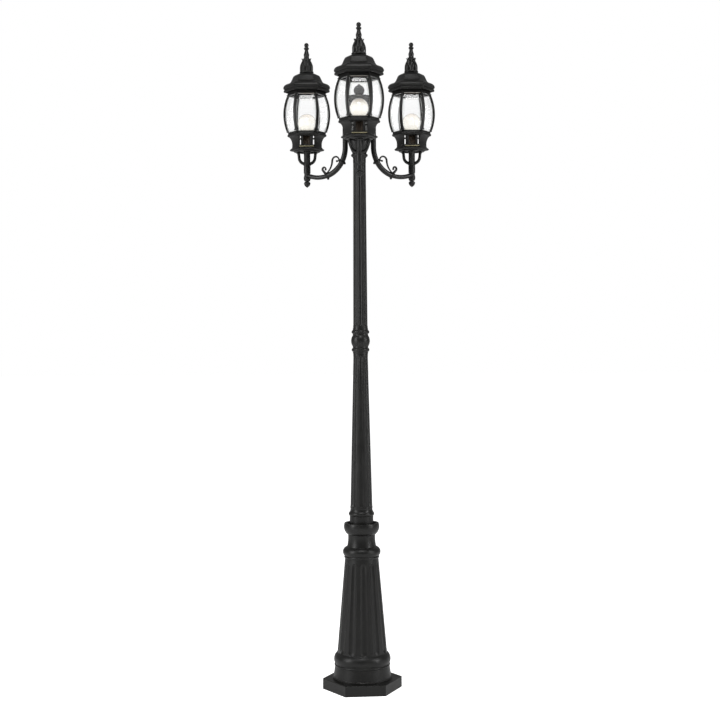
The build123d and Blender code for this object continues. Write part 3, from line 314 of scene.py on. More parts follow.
# a node with its settings, and its inputs joined or set, by name or number
def addNode(tree, kind, links=(), **values):
    node = tree.nodes.new(kind)
    for key, value in values.items():
        setattr(node, key, value)
    for socket, source in dict(links).items():
        if isinstance(source, bpy.types.NodeSocket):
            tree.links.new(source, node.inputs[socket])
        else:
            node.inputs[socket].default_value = source
    return node


def objectPlace(tree):
    return addNode(tree, "ShaderNodeTexCoord").outputs["Object"]


def noiseAt(tree, place, scale, detail=2.0):
    links = {"Vector": place, "Scale": scale, "Detail": detail}
    return addNode(tree, "ShaderNodeTexNoise", links).outputs["Fac"]


def mathOf(tree, operation, *sources, **values):
    return addNode(tree, "ShaderNodeMath", enumerate(sources), operation=operation, **values).outputs[0]


def rangeOf(tree, value, given=(0.0, 1.0), wanted=(0.0, 1.0), **values):
    links = {"Value": value, "From Min": given[0], "From Max": given[1], "To Min": wanted[0], "To Max": wanted[1]}
    return addNode(tree, "ShaderNodeMapRange", links, **values).outputs[0]


def mixOf(tree, share, first, second, **values):
    links = {0: share, 6: first, 7: second}
    return addNode(tree, "ShaderNodeMix", links, data_type="RGBA", **values).outputs[2]


# light path outputs, and whether a ray comes straight from the camera or through glass
def raysOf(tree):
    rays = addNode(tree, "ShaderNodeLightPath").outputs
    return rays, mathOf(tree, "MAXIMUM", rays["Is Camera Ray"], rays["Is Transmission Ray"])


castDetail = {
    "toneSpread": (0.32, 0.68),  # stretch of the drift noise that changes the tone
    "roughSpread": (0.3, 0.7),  # and the stretch that changes the roughness
    "pitScale": 190.0,
    "pitDepth": 1.6,  # against the grain's height
}


# powder coat on sand-cast metal: fine grain, soft pits and a slow drift in tone
def makeCastSkin():
    group, given, put = nodeGroup(
        "castSkin",
        [
            ("Dark", "NodeSocketColor", (0.02, 0.02, 0.02, 1)),
            ("Light", "NodeSocketColor", (0.03, 0.03, 0.03, 1)),
            ("Grain Size", "NodeSocketFloat", 900.0),
            ("Drift Size", "NodeSocketFloat", 14.0),
            ("Rough Low", "NodeSocketFloat", 0.4),
            ("Rough High", "NodeSocketFloat", 0.6),
        ],
        [("Color", "NodeSocketColor"), ("Roughness", "NodeSocketFloat"), ("Height", "NodeSocketFloat")],
    )
    place = objectPlace(group)
    grain = noiseAt(group, place, given["Grain Size"], 3.0)
    drift = noiseAt(group, place, given["Drift Size"], 4.0)
    pits = noiseAt(group, place, castDetail["pitScale"])
    speck = mathOf(group, "MULTIPLY_ADD", rangeOf(group, drift, castDetail["toneSpread"]), grain, grain)
    tone = mixOf(group, speck, given["Dark"], given["Light"], clamp_factor=True)
    rough = rangeOf(group, drift, castDetail["roughSpread"], (given["Rough Low"], given["Rough High"]))
    height = mathOf(group, "MULTIPLY_ADD", pits, castDetail["pitDepth"], grain)
    group.links.new(tone, put["Color"])
    group.links.new(rough, put["Roughness"])
    group.links.new(height, put["Height"])
    return group


edgeHighlightDetail = {"samples": 6, "match": (0.995, 0.9)}  # how far the rounded normal leaves the true one at an edge


# painted highlight: white along outer edges, where they catch the light
def makePaintedEdgeHighlight():
    group, given, put = nodeGroup(
        "paintedEdgeHighlight",
        [("Width", "NodeSocketFloat", 0.001), ("Breakup", "NodeSocketFloat", 160.0)],
        [("Mask", "NodeSocketFloat"), ("Normal", "NodeSocketVector")],
    )
    rounded = addNode(group, "ShaderNodeBevel", {"Radius": given["Width"]}, samples=edgeHighlightDetail["samples"]).outputs[0]
    normal = addNode(group, "ShaderNodeNewGeometry").outputs["Normal"]
    match = addNode(group, "ShaderNodeVectorMath", {0: rounded, 1: normal}, operation="DOT_PRODUCT").outputs["Value"]
    patches = noiseAt(group, objectPlace(group), given["Breakup"])
    group.links.new(mathOf(group, "MULTIPLY", rangeOf(group, match, edgeHighlightDetail["match"]), patches), put["Mask"])
    group.links.new(rounded, put["Normal"])
    return group


castSkin = makeCastSkin()
paintedEdgeHighlight = makePaintedEdgeHighlight()


def newMaterial(name):
    material = bpy.data.materials.new(name)
    material.use_nodes = True
    tree = material.node_tree
    return material, tree, tree.nodes["Principled BSDF"].inputs


def makePaint(name, look):
    material, tree, shader = newMaterial(name)
    skinInputs = {
        "Dark": look["dark"],
        "Light": look["light"],
        "Grain Size": look["grain"],
        "Drift Size": look["drift"],
        "Rough Low": look["roughLow"],
        "Rough High": look["roughHigh"],
    }
    skin = addNode(tree, "ShaderNodeGroup", skinInputs, node_tree=castSkin).outputs
    edgeHighlightAndRounding = addNode(tree, "ShaderNodeGroup", {"Width": look["edgeHighlightWidth"]}, node_tree=paintedEdgeHighlight).outputs
    bumpInputs = {
        "Strength": look["bump"],
        "Distance": look["bumpDepth"],
        "Height": skin["Height"],
        "Normal": edgeHighlightAndRounding["Normal"],
    }
    bump = addNode(tree, "ShaderNodeBump", bumpInputs).outputs[0]
    # painted highlight: the look's edge colour is mixed in along the edges
    tree.links.new(mixOf(tree, edgeHighlightAndRounding["Mask"], skin["Color"], look["edge"]), shader["Base Color"])
    tree.links.new(skin["Roughness"], shader["Roughness"])
    tree.links.new(bump, shader["Normal"])
    shader["Specular IOR Level"].default_value = look["specular"]
    shader["Metallic"].default_value = look["metallic"]
    return material


blackCastLook = {
    "dark": (0.0042, 0.0042, 0.0039, 1),
    "light": (0.0102, 0.0102, 0.0095, 1),
    # edge is the colour of the painted highlight along edges
    "edge": (0.042, 0.041, 0.038, 1),
    "grain": 1100.0,
    "drift": 16.0,
    "roughLow": 0.33,
    "roughHigh": 0.45,
    "edgeHighlightWidth": 0.0011,
    "bump": 0.22,
    "bumpDepth": 0.0004,
    "specular": 0.34,
    "metallic": 0.0,
}
zincLook = dict(
    blackCastLook,
    dark=(0.32, 0.33, 0.34, 1),
    light=(0.5, 0.51, 0.52, 1),
    # edge: the colour of the painted highlight along edges
    edge=(0.7, 0.7, 0.7, 1),
    roughLow=0.3,
    roughHigh=0.45,
    metallic=1.0,
)
holderLook = dict(
    blackCastLook,
    dark=(0.018, 0.0125, 0.009, 1),
    light=(0.034, 0.024, 0.016, 1),
    # edge: the colour of the painted highlight along edges
    edge=(0.07, 0.048, 0.03, 1),
    bump=0.1,
    roughLow=0.3,
    roughHigh=0.4,
)
screwLook = dict(blackCastLook, roughLow=0.3, roughHigh=0.38, bump=0.1)
shellLook = dict(zincLook, dark=(0.55, 0.5, 0.36, 1), light=(0.75, 0.7, 0.52, 1), roughLow=0.22, roughHigh=0.34)
# painted highlight: the sill's amber colour stands for the bulb's light caught on its edge
sillBulbLightLook = dict(blackCastLook, dark=(0.13, 0.115, 0.062, 1), light=(0.3, 0.27, 0.16, 1), drift=60.0)

blackCast = makePaint("blackCast", blackCastLook)
zincSteel = makePaint("zincSteel", zincLook)
holderPlastic = makePaint("holderPlastic", holderLook)
blackScrew = makePaint("blackScrew", screwLook)
brassShell = makePaint("brassShell", shellLook)
paintedSillLight = makePaint("paintedSillLight", sillBulbLightLook)

glassLook = {
    # rim is the painted shade in the bevels beside the ribs; middle is the clear glass
    "rim": (0.78, 0.79, 0.78, 1),
    "middle": (0.988, 0.99, 0.99, 1),
    "waveScale": 22.0,
    "waves": 0.3,
    "waveDepth": 0.0006,
    "filmScale": 60.0,
    "filmSpread": (0.45, 0.8),
    "film": 0.06,
    "bend": 1.46,
}


# clear glass with painted shade: grey in the bevels beside the ribs, fading to clear inside, with a faint unevenness
# and a film
def makeGlass(name, look):
    material, tree, shader = newMaterial(name)
    place = objectPlace(tree)
    ripple = noiseAt(tree, place, look["waveScale"], 1.0)
    smear = noiseAt(tree, place, look["filmScale"], 3.0)
    film = rangeOf(tree, smear, look["filmSpread"], (0.0, look["film"]))
    bumpInputs = {"Strength": look["waves"], "Distance": look["waveDepth"], "Height": ripple}
    paintedShadeFade = addNode(tree, "ShaderNodeAttribute", attribute_name="paintedShadeFade").outputs["Fac"]
    tree.links.new(mixOf(tree, paintedShadeFade, look["rim"], look["middle"]), shader["Base Color"])
    tree.links.new(film, shader["Roughness"])
    tree.links.new(addNode(tree, "ShaderNodeBump", bumpInputs).outputs[0], shader["Normal"])
    shader["Transmission Weight"].default_value = 1.0
    shader["IOR"].default_value = look["bend"]
    return material


clearGlass = makeGlass("clearGlass", glassLook)

bulbLook = {
    "glass": (0.985, 0.98, 0.965, 1),
    "cloudScale": 90.0,
    "rough": (0.02, 0.08),
    "bend": 1.45,
    "white": (1.0, 1.0, 0.975, 1),
    "warm": (0.88, 0.85, 0.74, 1),
    "cast": (1.6, 0.85, 0.3, 1),
    "frost": (0.2, 0.19, 0.17, 1),
    "frostRough": 0.6,
    "frostSpecular": 0.2,
    "crownSpan": (-0.1, 1.0),  # of the radius, over the centre
    "footSpan": (-1.1, -0.3),
    "crown": 0.2,
    "body": 0.93,
    "streakScale": 130.0,
    "streakSpread": (0.4, 0.65),
    "streaks": 0.3,
}


def makeBulbGlass(name, look):
    material, tree, shader = newMaterial(name)
    cloud = noiseAt(tree, objectPlace(tree), look["cloudScale"])
    tree.links.new(rangeOf(tree, cloud, castDetail["roughSpread"], look["rough"]), shader["Roughness"])
    shader["Base Color"].default_value = look["glass"]
    shader["Transmission Weight"].default_value = 1.0
    shader["IOR"].default_value = look["bend"]
    return material


# the light inside a bulb: whitest low in the globe, faint at its crown, amber where it falls on metal
def makeGlow(name, look):
    material, tree, shader = newMaterial(name)
    place = objectPlace(tree)
    height = addNode(tree, "ShaderNodeSeparateXYZ", {0: place}).outputs["Z"]
    crownSpan = [(bulbCentre + share * bulbRadius) * mm for share in look["crownSpan"]]
    footSpan = [(bulbCentre + share * bulbRadius) * mm for share in look["footSpan"]]
    rise = rangeOf(tree, height, crownSpan, interpolation_type="SMOOTHSTEP")
    sink = rangeOf(tree, height, footSpan, interpolation_type="SMOOTHSTEP")
    streaks = noiseAt(tree, place, look["streakScale"])
    patch = rangeOf(tree, streaks, look["streakSpread"], (0.0, look["streaks"]))
    cream = mathOf(tree, "SUBTRACT", sink, patch, use_clamp=True)
    seen = mixOf(tree, cream, look["warm"], look["white"])
    straight = raysOf(tree)[1]
    tree.links.new(mixOf(tree, straight, look["cast"], seen), shader["Emission Color"])
    tree.links.new(rangeOf(tree, rise, wanted=(look["body"], look["crown"])), shader["Alpha"])
    shader["Emission Strength"].default_value = 1.0
    shader["Base Color"].default_value = look["frost"]
    shader["Roughness"].default_value = look["frostRough"]
    shader["Specular IOR Level"].default_value = look["frostSpecular"]
    return material


bulbGlass = makeBulbGlass("bulbGlass", bulbLook)
bulbGlow = makeGlow("bulbGlow", bulbLook)
print("materials made")


# finishes of the pieces that stay as they are
finishes = {
    "black_cast": blackCast,
    "clear_glass": clearGlass,
    "bulb_glass": bulbGlass,
    "holder_plastic": holderPlastic,
    "zinc_steel": zincSteel,
    "black_screw": blackScrew,
}
nodeFinish = {
    "post_pipe": "zinc_steel",
    "pipe_washers": "zinc_steel",
    "pipe_nuts": "zinc_steel",
    "arm_nuts": "zinc_steel",
    "anchor_plate": "zinc_steel",
    "foot_screws": "black_screw",
    "hub_screws": "black_screw",
}
endFinish = {
    "_bulb": "bulb_glass",
    "_glass_panes": "clear_glass",
    "_lampholder": "holder_plastic",
    "_nipple": "zinc_steel",
    "_roof_screws": "black_screw",
}
for nodeName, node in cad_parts.items():
    finish = nodeFinish.get(nodeName, "black_cast")
    for ending, other in endFinish.items():
        if nodeName.endswith(ending):
            finish = other
    node.data.materials.clear()
    node.data.materials.append(finishes[finish])


# gives a finished piece its finish, its body and the nodes that it stands for
def ready(piece, body, slot, material, *nodes):
    piece.data.materials.clear()
    piece.data.materials.append(material)
    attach(piece, body)
    if nodes:
        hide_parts(*nodes)


# one copy of a piece for each arm, at its end or at the given distance, turned with the arm or as told;
# a turn of -90 brings the facet that faces +X round to the front
def setOut(pattern, name, body, slot, material, node=None, distance=reach, turn=None):
    for side, angle in sides.items():
        spot = Vector((distance, 0, 0))
        spot.rotate(Matrix.Rotation(math.radians(angle), 3, "Z"))
        copy = copyOf(pattern, f"{side}{name}", angle if turn is None else turn, spot)
        nodes = [f"{side}_{node}"] if node else []
        ready(copy, body.format(side), slot, material, *nodes)
    bpy.data.objects.remove(pattern)


# a piece drawn up the Z axis, laid along a direction in the XZ plane
def aimed(piece, ahead, spot):
    piece.rotation_euler.y = math.atan2(ahead[0], ahead[1])
    piece.location = (spot[0] * mm, 0, spot[1] * mm)
    return settle(piece)


# lantern spire: a turned core with a ring of upright leaves
spire = {
    "core": [
        (0, -1),
        (22.8, 0),
        (22.8, 6.4, 1.9),
        (18.0, 8, -0.5),
        (9.5, 43, 2.4),
        (12.0, 46, -0.3),
        (12.6, 50, 0.9),
        (8.8, 59, -1.2),
        (9.6, 67.5, 0.5),
        (6.5, 78, -0.4),
        (6.1, 83, -0.15),
        (6.1, 91, 2.9),
        (6.0, 93.5, -0.3),
    ],
    "ball": 4.6,
    "leaf": [(20.6, 6), (20.4, 22, 0.2), (18.2, 31.6, 0.5), (13.2, 42, 0.3), (12.8, 45, -0.3), (15.9, 51.6, -0.9)],
    "leaves": 7,
    "leafHalf": math.radians(24),
    "leafWaist": (0.35, 0.18, 0.7),  # narrowest share, start on the curve and the curve's power
    "leafNotch": 0.16,
    "leafLobes": 5,
    "leafLift": 2.2,
    "leafWall": 1.4,
}


def makeLeaf():
    path = drawOutline(spire["leaf"], roofTop)
    leaf = drawProfile("spireLeaf", path)
    bpy.ops.mesh.spin(steps=8, angle=2 * spire["leafHalf"], center=(0, 0, 0), axis=(0, 0, 1))
    tidyMesh(leaf)
    middle = sum((vertex.co for vertex in leaf.data.vertices), Vector()) / len(leaf.data.vertices)
    leaf.rotation_euler.z = -math.atan2(middle.y, middle.x)
    settle(leaf)
    lowHeight, tipHeight = path[0][1], path[-1][1]
    least, first, power = spire["leafWaist"]
    for vertex in leaf.data.vertices:
        share = (vertex.co.z / mm - lowHeight) / (tipHeight - lowHeight)
        narrow = least + (1 - least) * math.sin(math.pi * min(1, first + (1 - first) * share)) ** power
        notch = 1 - spire["leafNotch"] * (0.5 - 0.5 * math.cos(share * spire["leafLobes"] * math.pi))
        across = abs(vertex.co.y) / (math.hypot(vertex.co.x, vertex.co.y) * math.sin(spire["leafHalf"]))
        vertex.co.y *= narrow * notch
        vertex.co.x += spire["leafLift"] * mm * (1 - across**2)
    return thicken(leaf, spire["leafWall"], 0)


def makeSpire():
    outline = drawOutline(spire["core"] + [(0, spireTop - roofTop, spire["ball"])], roofTop)
    core = turned("spireCore", outline, 40)
    leaves = aroundAxis(makeLeaf(), spire["leaves"], "spireLeaves", 90)
    tidyMesh(leaves)
    return smoothen(joinAll([core, leaves], "spire"), math.radians(40))


setOut(makeSpire(), "Spire", "{}_roof_body", "black_cast", blackCast, "spire")
print("spires done")


# lantern roof: skirt, rolled brim and a steep hood over a hollow that sits on the top ring
roof = {
    "outside": [  # radius to the corners, and rise over the foot
        (79.6, 2.2),
        (80.8, 3.4),
        (80.8, 9.4),
        (78.2, 10.8),
        (78.2, 11.8),
        (81.0, 13.0),
        (82.2, 16.0),
        (82.2, 20.0),
        (79.9, 24.8),
        (76.4, 28.4),
        (71.0, 31.4),
        (60.5, 34.8),
        (57.0, 37.5),
        (54.8, 40.6),
        (48.0, 55.6),
        (46.2, 58.4),
        (43.4, 61.0),
        (38.2, 63.6),
    ],
    "crown": [(28.0, -1.0), (26.0, -0.5), (0, -0.5)],  # radius to the corners, and rise over the top
    "ceiling": -7.0,
    "hollow": [(48.0 * flat - 6, 54.0), (56.0 * flat - 5, 33.0)],  # radius to the flats
    "seat": [(54.2, 3.0), (54.2, 0.3), (66.2, 0.3)],  # radius to the flats, and rise over the top ring
    "edge": 0.6,
}


def makeRoof():
    outside = drawOutline(roof["outside"], roofFoot) + drawOutline(roof["crown"], roofTop)
    inside = [(0, roofTop + roof["ceiling"])] + drawOutline(roof["hollow"], roofFoot)
    inside += drawOutline(roof["seat"], ringTop)
    inside.append((inside[-1][0], outside[0][1]))
    outline = inside[-1:] + [(radius * flat, height) for radius, height in outside] + inside
    return smoothen(soften(hexagonal("roof", outline), roof["edge"], 35), math.radians(24))


setOut(makeRoof(), "Roof", "{}_roof_body", "black_cast", blackCast, "roof")
print("roofs done")


# lantern frame: six bowed ribs on feet, under a moulded ring
ribs = {"foot": 70.2, "belly": 82.2, "top": 68.6, "width": 8.6, "depth": 7.2, "waist": 0.52, "edge": 1.2}
ring = {
    "flat": 68.0 * flat,
    "wall": 9.0,
    "lip": 1.2,
    "lipHeight": 3.4,
    "lipBow": 1.0,
    "slope": 1.2,  # rise from the lip to the band
    "band": 0.6,
    "chamfer": 1.0,
    "edge": 0.6,
}
feet = {
    "width": 17.0,
    "depth": 6.0,
    "height": 9.0,
    "stand": 1.2,
    "taper": (0.8, 0.6, 1),
    "taperInset": 0.5,  # the taper's centre, in from the foot's middle
    "edge": 0.8,
}


# upward outline of the barrel-shaped side, an inset inside the ribs' faces
def bowedLine(scale, inset, steps=16):
    foot = Vector((scale * ribs["foot"] - inset, glassFoot))
    belly = Vector((scale * ribs["belly"] - inset, glassFoot + ribs["waist"] * (glassTop - glassFoot)))
    top = Vector((scale * ribs["top"] - inset, glassTop))
    # centre of the circle through the three points
    first, second = belly - foot, top - foot
    cross = 2 * (first.x * second.y - first.y * second.x)
    aside = (second.y * first.length_squared - first.y * second.length_squared) / cross
    upward = (first.x * second.length_squared - second.x * first.length_squared) / cross
    offset = Vector((aside, upward))
    centre, radius = foot + offset, offset.length
    low = math.atan2(foot.y - centre.y, foot.x - centre.x)
    high = math.atan2(top.y - centre.y, top.x - centre.x)
    angles = [low + (high - low) * step / steps for step in range(steps + 1)]
    return [(centre.x + radius * math.cos(angle), centre.y + radius * math.sin(angle)) for angle in angles]


def makeRibFoot():
    spot = (ribs["foot"] - feet["depth"] / 2 + feet["stand"], 0, glassFoot + feet["height"] / 2)
    foot = makeBlock("ribFoot", (feet["depth"], feet["width"], feet["height"]), spot, 0)
    editAll(foot)
    bpy.ops.mesh.select_all(action="DESELECT")
    bpy.ops.object.mode_set(mode="OBJECT")
    for face in foot.data.polygons:
        face.select = face.normal.z > 0.9
    bpy.ops.object.mode_set(mode="EDIT")
    bpy.ops.mesh.select_mode(type="FACE")
    centre = ((spot[0] - feet["taperInset"]) * mm, 0, spot[2] * mm)
    bpy.ops.transform.resize(value=feet["taper"], center_override=centre)
    bpy.ops.mesh.select_mode(type="VERT")
    bpy.ops.object.mode_set(mode="OBJECT")
    return soften(foot, feet["edge"])


def makeRib():
    outer = bowedLine(1, 0)
    rib = drawProfile("rib", outer + bowedLine(1, ribs["depth"])[::-1] + outer[:1])
    bpy.ops.mesh.remove_doubles(threshold=mergeGap)
    bpy.ops.mesh.edge_face_add()
    bpy.ops.mesh.select_all(action="SELECT")
    bpy.ops.transform.translate(value=(0, -ribs["width"] / 2 * mm, 0))
    bpy.ops.mesh.extrude_region_move(TRANSFORM_OT_translate={"value": (0, ribs["width"] * mm, 0)})
    tidyMesh(rib)
    soften(rib, ribs["edge"])
    return joinAll([rib, makeRibFoot()], "rib")


def makeTopRing():
    inner, lip, band = ring["flat"] - ring["wall"], ring["flat"] + ring["lip"], ring["flat"] - ring["band"]
    lipTop = glassTop + ring["lipHeight"]
    outline = [(inner, glassTop), (lip, glassTop), (lip, lipTop, ring["lipBow"]), (band, lipTop + ring["slope"])]
    chamfer = ring["chamfer"]
    outline += [(band, ringTop - chamfer), (band - chamfer, ringTop), (inner, ringTop), (inner, glassTop)]
    return soften(hexagonal("topRing", drawOutline(outline)), ring["edge"])


def makeFrame():
    frameRibs = aroundAxis(makeRib(), 6, "ribs", 30)
    return smoothen(joinAll([makeTopRing(), frameRibs], "lanternFrame"))


setOut(makeFrame(), "LanternFrame", "post", "black_cast", blackCast, "lantern_frame")
print("lantern frames done")


# bent panes with a ground bevel all round
panes = {"setback": 3.0, "thick": 3.0, "gap": 0.25, "bevel": 7.0, "bevelDepth": 1.3, "segments": 20}


def makePanes():
    pane = drawProfile("pane", bowedLine(flat, panes["setback"], panes["segments"]))
    span = ribs["belly"]
    bpy.ops.transform.translate(value=(0, -span / 2 * mm, 0))
    bpy.ops.mesh.extrude_region_move(TRANSFORM_OT_translate={"value": (0, span * mm, 0)})
    edge = ribs["width"] / 2 + panes["gap"]
    for hand in (1, -1):
        turn = math.radians(30 * hand)
        across = Vector((-math.sin(turn), math.cos(turn), 0)) * hand
        bpy.ops.mesh.select_all(action="SELECT")
        bpy.ops.mesh.bisect(plane_co=across * -edge * mm, plane_no=across, clear_outer=True, use_fill=False)
    tidyMesh(pane)
    outerCount = len(pane.data.vertices)
    editAll(pane)
    bpy.ops.mesh.inset(thickness=panes["bevel"] * mm, depth=0, use_boundary=True)
    bpy.ops.transform.translate(value=(panes["bevelDepth"] * mm, 0, 0))
    bpy.ops.mesh.select_all(action="SELECT")
    bpy.ops.mesh.normals_make_consistent(inside=False)
    bpy.ops.object.mode_set(mode="OBJECT")
    if pane.data.polygons[0].normal.x < 0:
        pane.data.flip_normals()
    # painted shade: 0 on the bevel's outer edge, where the glass is tinted grey, and 1 inside
    paintedShadeFade = pane.data.attributes.new("paintedShadeFade", "FLOAT", "POINT")
    for vertex in pane.data.vertices:
        paintedShadeFade.data[vertex.index].value = 0.0 if vertex.index < outerCount else 1.0
        vertex.co.x -= panes["bevelDepth"] * mm
    thicken(pane, panes["thick"] - panes["bevelDepth"], -1, True)
    return smoothen(aroundAxis(pane, 6, "glassPanes"), math.radians(6))


setOut(makePanes(), "GlassPanes", "post", "clear_glass", clearGlass, "glass_panes")
print("panes done")


# gallery under the glass: two flanges, a waisted neck and its cut-outs
gallery = {
    "lower": 60.5 * flat,
    "neck": 52.2 * flat,
    "upper": 68.7 * flat,
    "bore": 41.0,
    "seat": 48.1,
    "floor": 5.0,
    "edge": 0.9,
    "slot": (6.8, 29.5, 32.8),  # width, height and rise of its middle
    "backSlot": (6.8, 15.0, 54.5),
    "window": (24.0, 30.0, 33.0),
    "slotSpread": 46.0,
    "cutLength": 140.0,
    "backCut": -74.0,  # middle of a cut that stays in the back facet
}


def makeCutter(cut, aside, middle=0.0):
    width, height, rise = cut
    size = (gallery["cutLength"], width, height)
    return makeBlock("cutter", size, (middle, aside, galleryFoot + rise), 0)


def makeGallery():
    lower, neck, upper = gallery["lower"], gallery["neck"], gallery["upper"]
    height = glassFoot - galleryFoot
    stretches = [
        (0, 0),
        (lower - 5.0, 0),
        (lower - 0.6, 2.4, 0.8),
        (lower - 0.6, 5.6, 0.6),
        (lower - 2.6, 7.4, -0.2),
        (neck, 18.5, -1.9),
        (neck - 0.2, 25.0, -0.2),
        (neck + 6.6, 46.5, -1.5),
        (upper - 1.4, 50.5, -0.6),
        (upper - 0.4, 52.0),
        (upper - 0.4, 57.0, 0.4),
        (upper - 2.0, 58.4),
        (upper - 2.0, height - 0.8),
        (upper - 2.8, height),
        (gallery["seat"], height),
        (gallery["seat"], 48.0),
        (gallery["bore"], 44.0),
        (gallery["bore"], gallery["floor"]),
        (0, gallery["floor"]),
    ]
    piece = hexagonal("gallery", drawOutline(stretches, galleryFoot))
    half = gallery["slotSpread"] / 2
    cutBy(piece, makeCutter(gallery["window"], 0))
    for aside in (half, -half):
        cutBy(piece, makeCutter(gallery["slot"], aside))
    for aside in (half, -half):
        cutBy(piece, makeCutter(gallery["backSlot"], aside, gallery["backCut"]))
    return smoothen(soften(piece, gallery["edge"], 40))


setOut(makeGallery(), "Gallery", "post", "black_cast", blackCast, "gallery", turn=-90)

# a moulded guard stands behind each window, a bridge crosses each front slot and a sill lies below, coloured with a
# painted amber highlight of the bulb's light
guard = {"width": 30.0, "wall": 2.0, "place": 38.0, "low": 12.0, "high": 52.0, "edge": 0.6}
guardRib = {"count": 3, "share": 0.6, "stand": 1.0, "shorter": 4.0, "edge": 0.9}
sill = {"width": 50.0, "height": 3.0, "depth": 3.0, "rise": 12.0, "place": 48.6, "edge": 1.0}
bridge = {"width": 11.0, "height": 5.6, "depth": 4.0, "rise": 37.4, "place": 46.9, "edge": 0.9}


def makeGuards():
    blocks = []
    middle = galleryFoot + (guard["low"] + guard["high"]) / 2
    height = guard["high"] - guard["low"]
    size = (guard["wall"], guard["width"], height)
    pitch = guard["width"] / guardRib["count"]
    ribSize = (guard["wall"], pitch * guardRib["share"], height - guardRib["shorter"])
    for hand in (1, -1):
        blocks.append(makeBlock("guard", size, (hand * guard["place"], 0, middle), guard["edge"]))
        for step in range(guardRib["count"]):
            aside = pitch * (step + 0.5) - guard["width"] / 2
            spot = (hand * (guard["place"] + guardRib["stand"]), aside, middle)
            blocks.append(makeBlock("guardRib", ribSize, spot, guardRib["edge"]))
    return smoothen(joinAll(blocks, "guards"))


# bars across the front or back facet, one for each given distance along X and along Y
def makeBars(name, bar, spots):
    size = (bar["depth"], bar["width"], bar["height"])
    height = galleryFoot + bar["rise"]
    bars = [makeBlock(name, size, (ahead, aside, height), bar["edge"]) for ahead, aside in spots]
    return smoothen(joinAll(bars, name))


bridgeSpots = [(bridge["place"], hand * gallery["slotSpread"] / 2) for hand in (1, -1)]
sillSpots = [(hand * sill["place"], 0) for hand in (1, -1)]
setOut(makeBars("bridges", bridge, bridgeSpots), "Bridges", "post", "black_cast", blackCast, turn=-90)
setOut(makeGuards(), "HolderGuards", "post", "holder_plastic", holderPlastic, turn=-90)
setOut(makeBars("sills", sill, sillSpots), "Sills", "post", "black_cast", paintedSillLight, turn=-90)
print("galleries done")


# cradle under the gallery: a turned stem between four bowed ribs
cradle = {
    "stem": 11.4,
    "bore": 4.3,
    "ribDepth": 5.6,
    "ribWidth": 1.15,
    "ring": (34.0, 46.0, 4.0),  # bore, radius and thickness
    "moves": [("bend", 22.0, 84, 0.9), ("run", 13.0, 0.9), ("bend", 13.0, -45, 1.0)],
}


def makeCradle():
    stem, bore, height = cradle["stem"], cradle["bore"], galleryFoot - sleeveTop
    tube = [
        (bore, 0),
        (stem + 1.2, 0),
        (stem + 1.2, 4.2, 0.8),
        (stem - 0.2, 5.6, -0.3),
        (stem - 0.2, 42.0),
        (stem + 1.6, 45.0, -0.6),
        (stem + 1.6, 48.0, 0.7),
        (stem + 0.4, height),
        (bore, height),
        (bore, 0),
    ]
    low, high, thick = cradle["ring"]
    seat = [(low, 0), (low, -thick), (high - 2, -thick), (high, -1.5, 0.5), (high, 0), (low, 0)]
    start = (stem / 2, sleeveTop + cradle["ribDepth"])
    bar = bentBar("cradleRib", cradle["ribDepth"], 12, start, 0, cradle["moves"], cradle["ribWidth"])
    parts = [
        turned("stem", drawOutline(tube, sleeveTop), 48),
        turned("cradleRing", drawOutline(seat, galleryFoot), 64),
        aroundAxis(bar, 4, "cradleRibs", 90),
    ]
    return smoothen(joinAll(parts, "cradle"), math.radians(40))


setOut(makeCradle(), "Cradle", "post", "black_cast", blackCast, "cradle", turn=0)
print("cradles done")


# flat cap on the hub with a rounded rim, lower than the solid's dome, and a ball finial on it
cap = {"rim": 2.4, "drop": 3.4, "crown": 0.8}
hubFinial = {
    "stem": [(0, -6), (5.0, -6), (5.0, 0), (11.5, 0), (11.5, 2), (8.0, 4)],
    "ball": 18.6,
    "ballSteps": 14,
    "tip": [(4.6, 1), (4.6, 4), (0, 6)],
}
capTop = topOf("hub_cap") - cap["drop"]


def makeHubCap():
    radius, foot = sideOf("hub_cap"), footOf("hub_cap")
    outline = drawOutline([(0, foot), (radius, foot), (radius, capTop, cap["rim"]), (0, capTop + cap["crown"])])
    return smoothen(turned("hubCap", outline, 64))


def makeHubFinial():
    ball, steps = hubFinial["ball"], hubFinial["ballSteps"]
    outline = drawOutline(hubFinial["stem"], capTop)
    neck, neckTop = outline[-1]
    low = math.asin(neck / ball)
    centre = neckTop + ball * math.cos(low)
    for step in range(1, steps + 1):
        angle = -math.pi / 2 + low + (math.pi - 2 * low) * step / steps
        outline.append((ball * math.cos(angle), centre + ball * math.sin(angle)))
    outline += drawOutline(hubFinial["tip"], outline[-1][1])
    return smoothen(turned("hubFinial", outline, 40))


ready(makeHubCap(), "post", "black_cast", blackCast, "hub_cap")
ready(makeHubFinial(), "post", "black_cast", blackCast, "hub_finial")
print("hub finial done")


# bulb: a clear envelope round a soft light, on a threaded base
bulb = {
    "wall": 0.9,
    "neck": 14.2,
    "neckLength": 4.0,
    "shoulder": -36,  # degrees below the globe's equator where the neck begins
    "shoulderBow": -2.0,
    "glow": 0.93,  # share of the globe that the light fills
    "glowSag": 1.12,
    "base": 13.05,
    "baseHeight": 26.0,
    "button": [(0, 0), (5.5, 0), (6.5, 1.2), (11.45, 3.6), (12.5, 5)],
    "threadFoot": 5.5,
    "turns": 5,
    "pitch": 3.4,
    "thread": 0.55,
}


